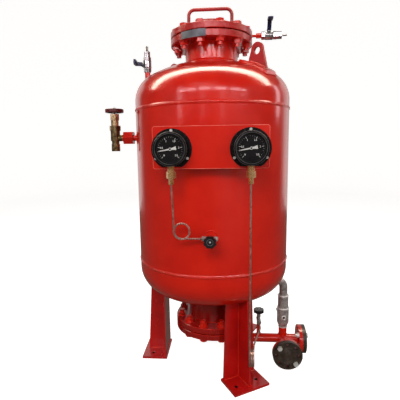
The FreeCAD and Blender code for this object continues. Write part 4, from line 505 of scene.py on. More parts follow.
# %% Laying beads
def ring(centre, radius, axis="z", step=3.2, surface=None):
    """Points round a circle; `surface` may push each point onto the metal."""
    count = max(12, round(math.tau * radius / step))
    points = []
    for number in range(count):
        angle = math.tau * number / count
        across, along = radius * math.cos(angle), radius * math.sin(angle)
        if axis == "z":
            point = Vector((centre[0] + across, centre[1] + along, centre[2]))
        elif axis == "y":
            point = Vector((centre[0] + across, centre[1], centre[2] + along))
        else:
            point = Vector((centre[0], centre[1] + across, centre[2] + along))
        points.append(surface(point) if surface else point)
    return points, True


def line(start, end, step=3.2, surface=None):
    start, end = Vector(start), Vector(end)
    count = max(2, round((end - start).length / step))
    points = [start.lerp(end, number / count) for number in range(count + 1)]
    return [surface(point) if surface else point for point in points], False


bead_red = red_enamel("weld bead enamel", 0.22, 0.35, [(0.012, 0.0016), (0.004, 0.0008)])


def beads(name, runs, half_width, finish=bead_red, unevenness=0.22):
    curve = bpy.data.curves.new(name, "CURVE")
    curve.dimensions = "3D"
    curve.bevel_depth = half_width * MM
    curve.bevel_resolution = 2
    curve.use_fill_caps = True
    for points, closed in runs:
        run = curve.splines.new("POLY")
        run.points.add(len(points) - 1)
        for mark, place in zip(run.points, points):
            mark.co = (*(place * MM), 1)
            mark.radius = chance.uniform(1 - unevenness, 1 + unevenness)
        run.use_cyclic_u = closed
    curve.materials.append(finish)
    return place_piece(name, curve, "tank")


print("bead enamel:", bead_red.name)

# %% [markdown]
# ## Girth seams
# Each head meets the rolled barrel in one machine-laid seam.  Three thin beads side by side,
# the middle one proudest, give the flat, wide weld that a submerged arc leaves.

# %% Seams of the shell
SEAM_HEIGHT = 2
SHELL_RADIUS = high_of("shell_barrel")[0] - SEAM_HEIGHT
seams = [low_of("shell_barrel")[2], high_of("shell_barrel")[2]]
seam_runs = []
for height in seams:
    for offset in (-3.0, 0, 3.0):
        radius = SHELL_RADIUS + 1.2 - 0.25 * abs(offset)
        seam_runs.append(ring((0, 0, height + offset), radius))
beads("shell_seam_beads", seam_runs, 1.5, unevenness=0.6)
print("seams at", [round(height, 1) for height in seams], "mm, radius", SHELL_RADIUS)

# %% [markdown]
# ## Beads on the domes
# A neck's bead runs where a pipe pierces a dished head.  Each point of a plain circle is dropped
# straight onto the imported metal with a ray, which finds the height whatever the dome's curve.

# %% Beads round the necks
def onto(node, lift=0.8, down=True):
    """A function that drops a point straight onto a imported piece."""
    metal = nodes[node]

    def drop(point):
        way = Vector((0, 0, -1 if down else 1))
        start = Vector((point.x * MM, point.y * MM, 2.0 if down else -0.5))
        hit, place, normal, _ = metal.ray_cast(start, way)
        return place / MM + normal * lift if hit else point

    return drop


WELD_LEG = 8
NECK_RADIUS = high_of("top_neck")[0] - WELD_LEG
neck_runs = []
for out in (3.5, 7.5):
    circle = NECK_RADIUS + out
    neck_runs.append(ring((0, 0, 0), circle, surface=onto("top_head")))
    neck_runs.append(ring((0, 0, 0), circle, surface=onto("bottom_head", down=False)))
for height in (low_of("top_flange")[2] - 1.5, high_of("bottom_flange")[2] + 1.5):
    neck_runs.append(ring((0, 0, height), NECK_RADIUS + 1.8))
beads("neck_beads", neck_runs, 2.4)
print("neck beads:", len(neck_runs))

# %% [markdown]
# ## Beads on the lifting lugs
# Each lug stands on a rounded pad, and both are welded all round.  The pad's outline is drawn
# flat beside the axis, turned to the lug's bearing, and dropped onto the dome.

# %% Beads round the lugs
def turned(x, y, azimuth):
    """A flat point turned about the tank's axis by `azimuth` degrees."""
    angle = math.radians(azimuth)
    return Vector((
        x * math.cos(angle) - y * math.sin(angle), x * math.sin(angle) + y * math.cos(angle), 0,
    ))


LUG_AZIMUTH, LUG_SIDE, LUG_IN, LUG_OUT = -40, 8.2, 34, 40
PAD_MIDDLE, PAD_LONG, PAD_WIDE, PAD_CORNER = 235, 61, 42, 14


def pad_edge(azimuth, step=3.2, out=2, corner_parts=6):
    """The pad's rounded rectangle, as evenly spaced points on the dome."""
    corners = []
    for turn, (side_x, side_y) in enumerate(((1, 1), (-1, 1), (-1, -1), (1, -1))):
        centre_x = PAD_MIDDLE + side_x * (PAD_LONG - PAD_CORNER)
        centre_y = side_y * (PAD_WIDE - PAD_CORNER)
        for part in range(corner_parts + 1):
            angle = math.pi / 2 * (turn + part / corner_parts)
            across = (PAD_CORNER + out) * math.cos(angle)
            along = (PAD_CORNER + out) * math.sin(angle)
            corners.append((centre_x + across, centre_y + along))
    points = []
    for (x0, y0), (x1, y1) in zip(corners, corners[1:] + corners[:1]):
        pieces = max(1, round(math.hypot(x1 - x0, y1 - y0) / step))
        for number in range(pieces):
            share = number / pieces
            points.append(turned(x0 + (x1 - x0) * share, y0 + (y1 - y0) * share, azimuth))
    drop = onto("top_head", 1.2)
    return [drop(point) for point in points], True


lug_runs = []
for azimuth in (LUG_AZIMUTH, LUG_AZIMUTH + 180):
    lug_runs.append(pad_edge(azimuth))
    for side in (-LUG_SIDE, LUG_SIDE):
        start = turned(PAD_MIDDLE - LUG_IN, side, azimuth)
        end = turned(PAD_MIDDLE + LUG_OUT, side, azimuth)
        lug_runs.append(line(start, end, surface=onto("lug_pads", 0.6)))
beads("lug_beads", lug_runs, 2.6)
print("lug and pad beads:", len(lug_runs))

# %% [markdown]
# ## Beads on the legs
# Each leg is a plate with a web standing out from its middle, on a foot plate.  Straight
# fillets run along both where they meet the foot, and up both sides of the web.

# %% Beads on legs and feet
LEG_AZIMUTHS = (-60, 60, 180)
LEG_FACE, LEG_BACK, LEG_HALF, WEB_HALF, WEB_REACH = 226, 218, 74, 4, 82
FILLET = 2
leg_top = high_of("leg_front")[2] - 12
leg_runs = []
for azimuth in LEG_AZIMUTHS:
    lift = Vector((0, 0, high_of("foot_front")[2] + 1.2))
    for side in (-1, 1):
        web_side = side * (WEB_HALF + FILLET)
        near = turned(LEG_FACE + FILLET, web_side, azimuth)
        plate_end = turned(LEG_FACE + FILLET, side * LEG_HALF, azimuth)
        web_end = turned(LEG_FACE + WEB_REACH, web_side, azimuth)
        leg_runs.append(line(near + lift, plate_end + lift))
        leg_runs.append(line(near + lift, web_end + lift))
        leg_runs.append(line(near + lift, near + Vector((0, 0, leg_top))))
    back_ends = [turned(LEG_BACK - FILLET, side * LEG_HALF, azimuth) + lift for side in (-1, 1)]
    leg_runs.append(line(*back_ends))
beads("leg_beads", leg_runs, 2.6)
print("leg beads:", len(leg_runs))

# %% [markdown]
# ## Beads on pipes and sockets
# Small stubs on the rolled plate, the pipes of the outlet manifold and the cover's handle all
# have a fillet round their foot.  A bead on the plate is a flat circle pushed out to the shell,
# and where a pipe lands on another pipe the bead is the saddle line of two cylinders.

# %% Places of the pipework
COLUMN = (313, -45)
COLUMN_X, PIPE_Y = COLUMN
PIPE_Z = middle("blank_plates")[2]
RIGHT_HUB_X, FRONT_HUB_Y = 377.5, -156.5
SMALL_RISER_X = 205.5
BLEED_X = -276
HANDLE_LEGS = (-94, 86)
COVER_BOSS, PIPE_OUTSIDE = 79, 20.2


def on_shell(point, out=0.6):
    """Pushes a point straight out from the tank's axis onto the rolled plate."""
    flat = Vector((point.x, point.y, 0))
    return flat.normalized() * (SHELL_RADIUS + out) + Vector((0, 0, point.z))


def saddle(x, radius, count=26):
    """The bead where an upright pipe lands on the level one."""
    points = []
    for number in range(count):
        angle = math.tau * number / count
        side = radius * math.sin(angle)
        rise = math.sqrt(PIPE_OUTSIDE ** 2 - side ** 2)
        points.append(Vector((x + radius * math.cos(angle), PIPE_Y + side, PIPE_Z + rise)))
    return points, True


print("manifold at y", PIPE_Y, "z", round(PIPE_Z, 1), "column at", COLUMN)

# %% Beads on pipes and fittings
boss_x, _, boss_z = middle("shell_boss")
branch_z = middle("side_branch")[2]
fitting_runs = [
    ring((boss_x, -SHELL_RADIUS, boss_z), 24.5, "y", 2.4, on_shell),
    ring((-SHELL_RADIUS, 0, branch_z), 26.5, "x", 2.4, on_shell),
    ring((BLEED_X, 0, 0), 13.2, "z", 2.2, onto("top_head")),
    ring((0, PIPE_Y, low_of("bottom_cover")[2] - 1), 20.6, "z", 2.6),
    ring((RIGHT_HUB_X, PIPE_Y, PIPE_Z), 20.4, "x", 2.6),
    ring((COLUMN_X, FRONT_HUB_Y, PIPE_Z), 20.4, "y", 2.6),
]
handle_foot = low_of("cover_handle")[2] + 1
for upright in HANDLE_LEGS:
    fitting_runs.append(ring((upright, 0, handle_foot), 8.4, "z", 2.0))
fitting_runs.append(ring((0, 0, handle_foot), COVER_BOSS, "z", 2.8))
fitting_runs += [saddle(COLUMN_X, 18.9), saddle(SMALL_RISER_X, 9.6)]
beads("fitting_beads", fitting_runs, 1.9)
print("fitting beads:", len(fitting_runs))

# %% [markdown]
# ## Paint-thickened edges
# Gloss enamel pulls into a rounded bead along a sheared edge, so the gauge panel and the flange
# rims show a thin bright outline.  A wider bevel on the plate would round the metal itself, so
# a fine curve run along each edge is the paint alone.  The panel's bead is a lighter, pinker
# red, which is a painted highlight.

# %% Painted edges
# A lighter, pinker red: a painted highlight along the gauge panel's edge.
edge_highlight_red = red_enamel(
    "painted highlight edge enamel", 0.34, 0.2, [(0.006, 0.0003)],
    (linear(214, 62, 48), linear(224, 80, 66), linear(232, 98, 84)),
)
EDGE_IN = 0.5
panel_low, panel_high = low_of("gauge_panel"), high_of("gauge_panel")
panel_face = panel_low[1] + 0.4
near_x, far_x = panel_low[0] + EDGE_IN, panel_high[0] - EDGE_IN
foot_z, head_z = panel_low[2] + EDGE_IN, panel_high[2] - EDGE_IN
corners = [(near_x, foot_z), (far_x, foot_z), (far_x, head_z), (near_x, head_z)]
panel_edge = []
for (x0, z0), (x1, z1) in zip(corners, corners[1:] + corners[:1]):
    run, _ = line((x0, panel_face, z0), (x1, panel_face, z1), 5)
    panel_edge += run[1:-1]
beads("panel_paint_edge", [(panel_edge, True)], 1.2, finish=edge_highlight_red, unevenness=0.15)

FLANGE_RADIUS = high_of("top_flange")[0]
COVER_THICKNESS = 24
rim_runs = []
for node in ("top_flange", "top_cover", "bottom_flange", "bottom_cover"):
    low, high = low_of(node)[2], high_of(node)[2]
    face = low + COVER_THICKNESS if node == "top_cover" else high
    for height in (low + 1.4, face - 1.4):
        rim_runs.append(ring((0, 0, height), FLANGE_RADIUS - 1.5, "z", 7))
beads("flange_paint_edges", rim_runs, 1.2, unevenness=0.15)
print("panel", round(far_x - near_x), "by", round(head_z - foot_z), "mm;", len(rim_runs), "rims")

# %% [markdown]
# ## Gauge faces
# A Bourdon gauge reads over 270 degrees, from lower left round to lower right.  The scale is
# printed in white on a black plate, so its marks are thin raised slips here.  The numbers are a
# plain pressure scale, and the space under the arbor is left bare.

# %% Scale marks
DIAL_RADIUS = 53
DIAL_FACE = low_of("gauge_dials")[1]
GAUGE_X = (low_of("gauge_dials")[0] + DIAL_RADIUS, high_of("gauge_dials")[0] - DIAL_RADIUS)
GAUGE_Z = middle("gauge_dials")[2]
FACE_FRONT = Matrix.Rotation(math.pi / 2, 4, "X")
MARK_RADIUS, NUMBER_RADIUS, NUMBER_SIZE = 41, 29, 8.2
SCALE_NUMBERS = ("0", "0.5", "1", "1.5", "2", "2.5")
SCALE_START, SCALE_SWEEP, MARKS_PER_NUMBER = 225, 270, 5


def lay_on_dial(part, x, front, angle):
    """Turns flat work about the arbor and stands it on a gauge's face."""
    bmesh.ops.rotate(
        part, verts=part.verts[:], cent=(0, 0, 0), matrix=Matrix.Rotation(angle, 3, "Z"),
    )
    seat = Matrix.Translation(Vector((x, front, GAUGE_Z)) * MM) @ FACE_FRONT
    bmesh.ops.transform(part, matrix=seat @ Matrix.Scale(MM, 4), verts=part.verts[:])
    return as_mesh(part)


def slip(length, width, angle, x):
    """One printed mark, lying along the dial's radius."""
    part = bmesh.new()
    bmesh.ops.create_cube(part, size=1)
    bmesh.ops.scale(part, verts=part.verts[:], vec=(length, width, 0.12))
    bmesh.ops.translate(part, verts=part.verts[:], vec=(MARK_RADIUS - length / 2, 0, 0.08))
    return lay_on_dial(part, x, DIAL_FACE, angle)


print("gauges at x", [round(x, 1) for x in GAUGE_X], "z", round(GAUGE_Z, 1))

# %% Scale numbers
def number_mesh(text, x, z):
    lettering = bpy.data.curves.new("scale number", "FONT")
    lettering.body = text
    lettering.size = NUMBER_SIZE * MM
    lettering.extrude = 0.06 * MM
    lettering.offset = 0.22 * MM
    lettering.align_x = "CENTER"
    lettering.align_y = "CENTER"
    lettering.resolution_u = 3
    holder = bpy.data.objects.new("scale number", lettering)
    data = bpy.data.meshes.new_from_object(holder)
    bpy.data.objects.remove(holder)
    seat = Matrix.Translation(Vector((x, DIAL_FACE - 0.08, z)) * MM)
    data.transform(seat @ FACE_FRONT)
    return data


steps = MARKS_PER_NUMBER * (len(SCALE_NUMBERS) - 1)
for side, x in zip(("left", "right"), GAUGE_X):
    marks = []
    for number in range(steps + 1):
        angle = math.radians(SCALE_START - SCALE_SWEEP * number / steps)
        if number % MARKS_PER_NUMBER:
            marks.append(slip(2.4, 0.5, angle, x))
            continue
        marks.append(slip(6.4, 1.3, angle, x))
        place_x = x + NUMBER_RADIUS * math.cos(angle)
        place_z = GAUGE_Z + NUMBER_RADIUS * math.sin(angle)
        text = SCALE_NUMBERS[number // MARKS_PER_NUMBER]
        marks.append(number_mesh(text, place_x, place_z))
    join_up(f"{side}_dial_scale", marks, mark_white, "tank")
print(steps + 1, "marks on each dial")

# %% [markdown]
# ## Bezels
# A bezel is spun from thin sheet, so its lip is a rolled round edge.  The roll is grey, a
# painted highlight for the light its curve catches.  A small circle turned about the gauge's
# axis makes that roll.

# %% Rolled bezel edges and dial steps
BEZEL_FRONT = low_of("gauge_bezels")[1]
# Grey enamel; on the rolled lips its grey is a painted highlight.
bezel_grey = coated(
    "grey bezel enamel", greys((24, 24, 26), (70, 70, 72)), 0.4, 0.002, 0.00005, 0.03,
)


def roll(radius, thickness, x, back):
    """A round wire bent into a ring about the gauge's axis."""
    angles = [math.tau * part / 10 for part in range(10)]
    wire = [
        (radius + thickness * math.cos(angle), thickness * math.sin(angle)) for angle in angles
    ]
    return lathe(wire, (x, BEZEL_FRONT + back, GAUGE_Z), FRONT, 72)


rolled, dial_steps = [], []
for x in GAUGE_X:
    rolled.append(roll(50.4, 1.5, x, 0.6))
    rolled.append(roll(55.8, 1.1, x, 1.6))
    step = [(44.6, 0), (44.6, 0.5), (45.2, 0.5), (45.2, 0)]
    dial_steps.append(lathe(step, (x, DIAL_FACE, GAUGE_Z), FRONT, 72))
join_up("bezel_rolled_edges", rolled, bezel_grey, "tank")
join_up("dial_step_rings", dial_steps, bezel_grey, "tank")
print("rolled edges:", len(rolled))

# %% [markdown]
# ## Pointer caps and tails
# Each pointer has a cap on its arbor and a broad tail that balances it, and both ride on the
# pointer.  The tail is a flat outline raised to the thickness of a sheet.

# %% Pointer caps and tails
POINTER_CAP = [(0, 1.2), (2.2, 1.0), (3.2, 0.3), (3.4, 0)]
POINTER_REST = math.radians(10)
TAIL = ((3.0, -1.9), (19.4, -6.2), (20.6, -5.2), (20.6, 5.2), (19.4, 6.2), (3.0, 1.9))


def pointer_tail(x, front):
    """The broad white counterweight that balances a pointer."""
    part = bmesh.new()
    blade = part.faces.new([part.verts.new((across, up, 0)) for across, up in TAIL])
    raised = bmesh.ops.extrude_face_region(part, geom=[blade])
    lifted = [item for item in raised["geom"] if isinstance(item, bmesh.types.BMVert)]
    bmesh.ops.translate(part, verts=lifted, vec=(0, 0, 0.5))
    bmesh.ops.recalc_face_normals(part, faces=part.faces[:])
    return lay_on_dial(part, x, front + 0.1, POINTER_REST)


for side, x in zip(("left", "right"), GAUGE_X):
    body = f"{side}_pointer"
    cap = lathe(POINTER_CAP, (x, low_of(body)[1], GAUGE_Z), FRONT, 24)
    join_up(f"{body}_cap", [cap], bezel_grey, body)
for side, x in zip(("left", "right"), GAUGE_X):
    body = f"{side}_pointer"
    tail = pointer_tail(x, low_of(body)[1])
    join_up(f"{body}_tail", [tail], mark_white, body)
print("pointer caps and tails on")

# %% [markdown]
# ## Bolts of the end flanges
# Twelve bolts hold each cover.  Beyond each nut the bolt's end shows a few turns of thread, and a
# washer lies under the nut.  Thread ridges are rings and not a helix, which looks the same at
# this size.

# %% Bolt threads and nut washers
BOLT_CIRCLE, BOLT_COUNT, NUT_HEIGHT, THREAD_PITCH = 147.5, 12, 16, 2.4
RIDGE = [(9.4, 0), (10.5, 0.7), (10.5, 0.9), (9.4, 1.6)]
WASHER = [(15, -0.2), (15, 2.8), (18.0, 2.8), (18.8, 2.1), (18.8, -0.2)]
TOP_NUTS = low_of("top_flange")[2] - NUT_HEIGHT
BOTTOM_NUTS = high_of("bottom_flange")[2] + NUT_HEIGHT
threads, washers = [], []
for number in range(BOLT_COUNT):
    angle = math.radians(360 / BOLT_COUNT * (number + 0.5))
    x, y = BOLT_CIRCLE * math.cos(angle), BOLT_CIRCLE * math.sin(angle)
    for turn in range(4):
        along = THREAD_PITCH * turn
        threads.append(lathe(RIDGE, (x, y, TOP_NUTS - THREAD_PITCH - along), UP, 14))
        threads.append(lathe(RIDGE, (x, y, BOTTOM_NUTS + 0.8 + along), UP, 14))
    washers.append(lathe(WASHER, (x, y, TOP_NUTS + NUT_HEIGHT), DOWN, 28))
    washers.append(lathe(WASHER, (x, y, BOTTOM_NUTS - NUT_HEIGHT), UP, 28))
join_up("bolt_thread_ridges", threads, bolt_red, "tank")
join_up("nut_washers", washers, bolt_red, "tank")
print("threads:", len(threads), "ridges,", len(washers), "washers")

# %% [markdown]
# ## Ball valves
# A small nut and washer hold each lever on its stem.  The lever's vinyl dip ends in a thick,
# rounded drop, which a sphere drawn out towards its tip gives.

# %% Lever nuts and grip ends
VENT_X, VENT_Z, BLEED_Z = 239, 1413.6, 1311.5
STEM_TOP, GRIP_REACH, GRIP_HALF = 22.8, -58.5, 4.5
# Dark steel for the lever nuts; the same colour is painted shade in the column's port and the foot
# holes.
dark_steel_and_shade = bare_metal(
    "dark steel for nuts and painted shade", greys((40, 42, 50), (70, 72, 80), (112, 112, 118)), 0.3,
)


def lever_nut(place, axis):
    washer = [(4.1, 0), (4.1, 0.8), (7.4, 0.8), (7.6, 0)]
    nut_place = Vector(place) + Vector(axis) * 0.8
    return [lathe(washer, place, axis, 28), hexagon(6.4, 4.2, nut_place, axis)]


def grip_bulb(place, size):
    """Rounded end that the vinyl dip leaves on a lever."""
    part = bmesh.new()
    bmesh.ops.create_uvsphere(part, u_segments=24, v_segments=14, radius=1)
    bmesh.ops.scale(part, verts=part.verts[:], vec=size)
    for vert in part.verts:
        vert.co.y *= 1.15 if vert.co.y < 0 else 0.9
    stand(part, place, UP)
    return as_mesh(part)


vent_nut = lever_nut((VENT_X, 0, VENT_Z + STEM_TOP), UP)
bleed_nut = lever_nut((BLEED_X - STEM_TOP, 0, BLEED_Z), LEFT)
join_up("vent_lever_nut", vent_nut, dark_steel_and_shade, "vent_lever")
join_up("bleed_lever_nut", bleed_nut, dark_steel_and_shade, "bleed_lever")
vent_place = (VENT_X, GRIP_REACH, high_of("vent_lever")[2] - GRIP_HALF)
bleed_place = (low_of("bleed_lever")[0] + GRIP_HALF, GRIP_REACH, BLEED_Z)
vent_bulb = grip_bulb(vent_place, (10.6, 5.6, 5.4))
bleed_bulb = grip_bulb(bleed_place, (5.4, 5.6, 10.6))
join_up("vent_grip_end", [vent_bulb], lever_navy, "vent_lever")
join_up("bleed_grip_end", [bleed_bulb], lever_navy, "bleed_lever")
print("levers dressed at", VENT_Z, "and", BLEED_Z, "mm")

# %% [markdown]
# ## Rings of the valve bodies
# A ball valve is screwed together from turned halves, and a low ring marks each joint.

# %% Rings of the valve bodies
COLLAR_HEIGHT, RING_HEIGHTS, RING_PLACES = 1278.6, (1297.5, 1325.5), (223.5, 252.0)
COLLAR = [(10, 0), (10, 3.2), (13.2, 3.2), (14, 2.6), (14, 0.6), (13.2, 0)]
BODY_RING = [(16.9, 0), (18.1, 0.6), (18.1, 1.6), (16.9, 2.2)]
valve_rings = [lathe(COLLAR, (BLEED_X, 0, COLLAR_HEIGHT), UP, 40)]
for height in RING_HEIGHTS:
    valve_rings.append(lathe(BODY_RING, (BLEED_X, 0, height), UP, 40))
for place in RING_PLACES:
    valve_rings.append(lathe(BODY_RING, (place, 0, VENT_Z), RIGHT, 40))
join_up("valve_body_rings", valve_rings, chrome, "tank")
print("valve rings:", len(valve_rings))

# %% [markdown]
# ## Needle valve knobs
# A moulded knob has a thin metal inlay let into its face and a slotted screw that holds it to
# the spindle.  All three ride on the knob, so the slot turns when the valve is opened.

# %% Knob inlays and screws
KNOB_INLAY = [(10.3, -0.2), (10.3, 0.4), (10.6, 0.6), (11.0, 0.6), (11.3, 0.4), (11.3, -0.2)]
KNOB_SCREW = [(0, 2.2), (1.8, 2.0), (3.0, 1.2), (3.4, 0.3), (3.4, -0.2)]
inlay_grey = bare_metal(
    "knob inlay aluminium", greys((92, 92, 98), (118, 118, 124), (140, 140, 146)), 0.4, shine=0.5,
)


def knob_slot(place, axis):
    """The driver slot across the knob's screw, as a dark bar that paints the shade in the slot."""
    part = bmesh.new()
    bmesh.ops.create_cube(part, size=1)
    bmesh.ops.scale(part, verts=part.verts[:], vec=(5.0, 0.8, 0.5))
    soften(part, 0.12, 1)
    bmesh.ops.translate(part, verts=part.verts[:], vec=(0, 0, 2.05))
    stand(part, place, axis)
    return as_mesh(part)


left_x, _, left_z = middle("left_needle_knob")
right_x, right_y, _ = middle("right_needle_knob")
KNOB_FACES = {
    "left_knob": ((left_x, low_of("left_needle_knob")[1], left_z), FRONT),
    "right_knob": ((right_x, right_y, high_of("right_needle_knob")[2]), UP),
}
for body, (place, axis) in KNOB_FACES.items():
    join_up(f"{body}_inlay", [lathe(KNOB_INLAY, place, axis, 48)], inlay_grey, body)
    join_up(f"{body}_screw", [lathe(KNOB_SCREW, place, axis, 28)], zinc, body)
    join_up(f"{body}_slot", [knob_slot(place, axis)], dial_black, body)
print("knob faces dressed:", list(KNOB_FACES))

# %% [markdown]
# ## Angle valve
# The handwheel is held by a washer, a nut and the domed end of the stem.  The outlet is cut
# with a coarse pipe thread, again as rings.

# %% Handwheel nut and outlet threads
ANGLE_X = -430
wheel_top = high_of("angle_valve_handwheel")[2]
wheel_washer = [(4.2, -0.2), (4.2, 1.2), (8.6, 1.2), (9.2, 0.7), (9.2, -0.2)]
stem_dome = [(0, 3.4), (2.4, 3.0), (3.4, 1.6), (3.5, 0)]
wheel_nut = [
    lathe(wheel_washer, (ANGLE_X, 0, wheel_top), UP, 32),
    hexagon(7.2, 5, (ANGLE_X, 0, wheel_top + 1.1)),
    lathe(stem_dome, (ANGLE_X, 0, wheel_top + 5.6), UP, 20),
]
join_up("handwheel_nut", wheel_nut, zinc, "handwheel")
OUTLET_RIDGE = [(18.0, 0), (19.2, 0.8), (19.2, 1.0), (18.0, 1.8)]
outlet_foot = low_of("angle_valve_body")[2] + 1.5
outlet_threads = [
    lathe(OUTLET_RIDGE, (ANGLE_X, 0, outlet_foot + 2.3 * turn), UP, 36) for turn in range(7)
]
join_up("outlet_thread_ridges", outlet_threads, old_bronze, "tank")
print("outlet threads:", len(outlet_threads))

# %% [markdown]
# ## Steel column
# The column is built up of turned stainless pieces, and a turned ring covers each joint.  The
# rings and the port's rim are polish-bright, and their near-white colour is also a painted
# glint.  Its small side port is a ring round a dark disc, which is painted shade for the inside
# of so small a hole.

# %% Column rings and port
# Near-white steel with little metal shine: the rings' polish and a painted glint in one colour.
polish_glint = bare_metal(
    "near-white ring steel, polish and painted glint", greys((226, 226, 224), (242, 242, 240), (250, 250, 248)), 0.2,
    shine=0.35,
)
RING_JOINTS = ((240.6, 25.4), (298.6, 22.6))
FOOT_HEIGHT, PORT_HEIGHT, PORT_OUT = 153.6, 206, 25.2
FOOT_RING = [(16, 0), (19.6, 0.4), (19.9, 1.4), (19.6, 2.6), (16, 3)]
PORT_RIM = [(5.6, -3), (5.6, 1.2), (6.6, 1.8), (8.8, 1.5), (9.8, 0.4), (10, -3)]
PORT_SHADE_DISC = [(0, 0.2), (5.0, 0.5), (5.8, 0.6), (5.8, -2.5), (0, -2.5)]
port = (COLUMN_X, PIPE_Y - PORT_OUT, PORT_HEIGHT)
column_rings = []
for height, radius in RING_JOINTS:
    outline = [
        (radius - 2, 0), (radius + 1.6, 0.5), (radius + 2.2, 1.6), (radius + 2.2, 3.6),
        (radius + 1.6, 4.6), (radius - 2, 5.2),
    ]
    column_rings.append(lathe(outline, (*COLUMN, height), UP, 56))
column_rings.append(lathe(FOOT_RING, (*COLUMN, FOOT_HEIGHT), UP, 56))
column_rings.append(lathe(PORT_RIM, port, FRONT, 36))
join_up("column_rings", column_rings, polish_glint, "tank")
# A dark disc in the port: painted shade for the inside of the hole.
port_shade_disc = lathe(PORT_SHADE_DISC, port, FRONT, 28)
join_up("column_port_shade", [port_shade_disc], dark_steel_and_shade, "tank")
print("column rings:", len(column_rings))

# %% [markdown]
# ## Return spring
# The check valve's spring is pressed between the poppet and a seat above it.  A copy of the
# packed coil, with a mesh of its own, stands for it, and the packed coil is hidden.

# %% Return spring
spring_low, spring_high = low_of("column_spring"), high_of("column_spring")
coil_copy = bmesh.new()
coil_copy.from_mesh(nodes["column_spring"].data)
bmesh.ops.remove_doubles(coil_copy, verts=coil_copy.verts[:], dist=0.000005)
spring = join_up("return_spring", [as_mesh(coil_copy)], spring_steel, "tank")
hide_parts("column_spring")
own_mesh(spring)

# %% [markdown]
# ## Anchor holes
# The holes are in the imported feet.  A dark sleeve of bare drilled steel lines each, and a dark
# disc at its bottom is painted shade for the floor under the foot; the sleeve's darkness is
# partly painted shade too.

# %% Bare bores and painted shade in the foot holes
FOOT_HOLES = ((SHELL_RADIUS - 36, -51), (SHELL_RADIUS - 42, 46))
SLEEVE = [(6.2, 0.4), (6.2, 9.2), (6.9, 9.6), (6.9, 0.4)]
# The disc at the bottom of each hole is painted shade for the floor under the foot.
HOLE_SHADE_DISC = [(0, 1.2), (6.3, 1.2), (6.3, 0.5), (0, 0.5)]
bores = []
for azimuth in LEG_AZIMUTHS:
    for circle_radius, side in FOOT_HOLES:
        across = math.sqrt(circle_radius ** 2 - side ** 2)
        place = turned(across, side, azimuth)
        bores += [lathe(SLEEVE, place, UP, 28), lathe(HOLE_SHADE_DISC, place, UP, 28)]
join_up("foot_hole_shade_and_bores", bores, dark_steel_and_shade, "tank")
print("foot bores:", len(bores) // 2)

# %% [markdown]
# ## Turning marks
# The blank plates are faced on a lathe, which leaves fine circles that catch the light.  Low
# ridges are turned for them, because noise in the finish gives no even circles.

# %% Turning marks on the blank plates
MARK_COUNT, FIRST_MARK, MARK_PITCH = 11, 5, 3.1
PLATE_RIM = [(58.6, -0.2), (59.4, 0.4), (60.4, 0.3), (60.9, -0.4)]
PLATE_FACES = (
    ((COLUMN_X, low_of("blank_plates")[1], PIPE_Z), FRONT),
    ((high_of("blank_plates")[0], PIPE_Y, PIPE_Z), RIGHT),
)
turning = []
for face, axis in PLATE_FACES:
    for number in range(MARK_COUNT):
        radius = FIRST_MARK + MARK_PITCH * number
        groove = [(radius - 0.7, -0.1), (radius, 0.32), (radius + 0.7, -0.1)]
        turning.append(lathe(groove, face, axis, 56))
    turning.append(lathe(PLATE_RIM, face, axis, 72))
join_up("blank_turning_marks", turning, blank_brown, "tank")
print("turning marks:", len(turning))

# %% [markdown]
# ## Studio
# Gloss paint is seen mostly by what it reflects.  A long lamp overhead draws the pale band over
# the dome's shoulder, a broken row of lamps further off draws the row of glints under it, and
# tall panels at the sides draw the upright streaks.  These lamps are only for reflections; wide
# soft lamps that don't show in reflections carry the light itself, and a faint warm air fills
# the shadows.

# %% Lamps
def lamp(name, place, aim, size, brightness, colour, shines=True, shows=True):
    """A flat lamp: `shines` lets it light matt surfaces, `shows` lets gloss reflect it."""
    width, height = size
    data = bpy.data.lights.new(name, "AREA")
    data.shape = "RECTANGLE"
    data.size = width
    data.size_y = height
    data.color = colour
    data.energy = brightness * math.pi * width * height
    light = bpy.data.objects.new(name, data)
    bpy.context.scene.collection.objects.link(light)
    light.location = place
    light.rotation_euler = (Vector(aim) - Vector(place)).to_track_quat("-Z", "Y").to_euler()
    light.visible_camera = False
    light.visible_diffuse = shines
    light.visible_glossy = shows
    light.visible_transmission = shows


def reflected(*setting):
    lamp(*setting, shines=False)


def soft(*setting):
    lamp(*setting, shows=False)


WARM, ROSE = (1.0, 0.88, 0.72), (1.0, 0.84, 0.88)
reflected("overhead strip", (-0.4, 0.13, 3.0), (-0.4, 0.13, 0), (8.4, 0.75), 13, WARM)
FAR_LAMPS = ((-4.4, 1.2), (-2.7, 1.2), (-0.7, 1.5), (1.4, 1.6), (3.9, 1.8), (6.0, 1.2))
for spot, width in FAR_LAMPS:
    aim = (spot * 0.8, 0, 1.1)
    reflected(f"far lamp {spot}", (spot, -5.7, 3.0), aim, (width, 0.55), 10.5, ROSE)
SIDE_PANELS = ((229, 0.35, 2.6), (259.6, 0.3, 0.9), (285.7, 0.3, 1.0), (15, 0.5, 3.5))
for bearing, width, strength in SIDE_PANELS:
    around = math.radians(bearing)
    spot = (3.0 * math.cos(around), 3.0 * math.sin(around), 1.9)
    reflected(f"side panel {bearing}", spot, (0, 0, 1.3), (width, 1.2), strength, ROSE)
for side in (-1, 1):
    spot = (side * 2.6, 2.2, 1.4)
    reflected(f"rim panel {side}", spot, (0, 0, 0.9), (1.6, 2.6), 0.3, (1, 0.93, 0.95))
soft("soft key", (-0.5, -3.0, 2.7), (0, 0, 0.85), (2.0, 1.0), 11.6, (1, 0.97, 0.93))
soft("soft fill", (1.6, -3.0, 1.1), (0, 0, 0.7), (2.4, 2.4), 1.6, (1, 0.96, 0.94))
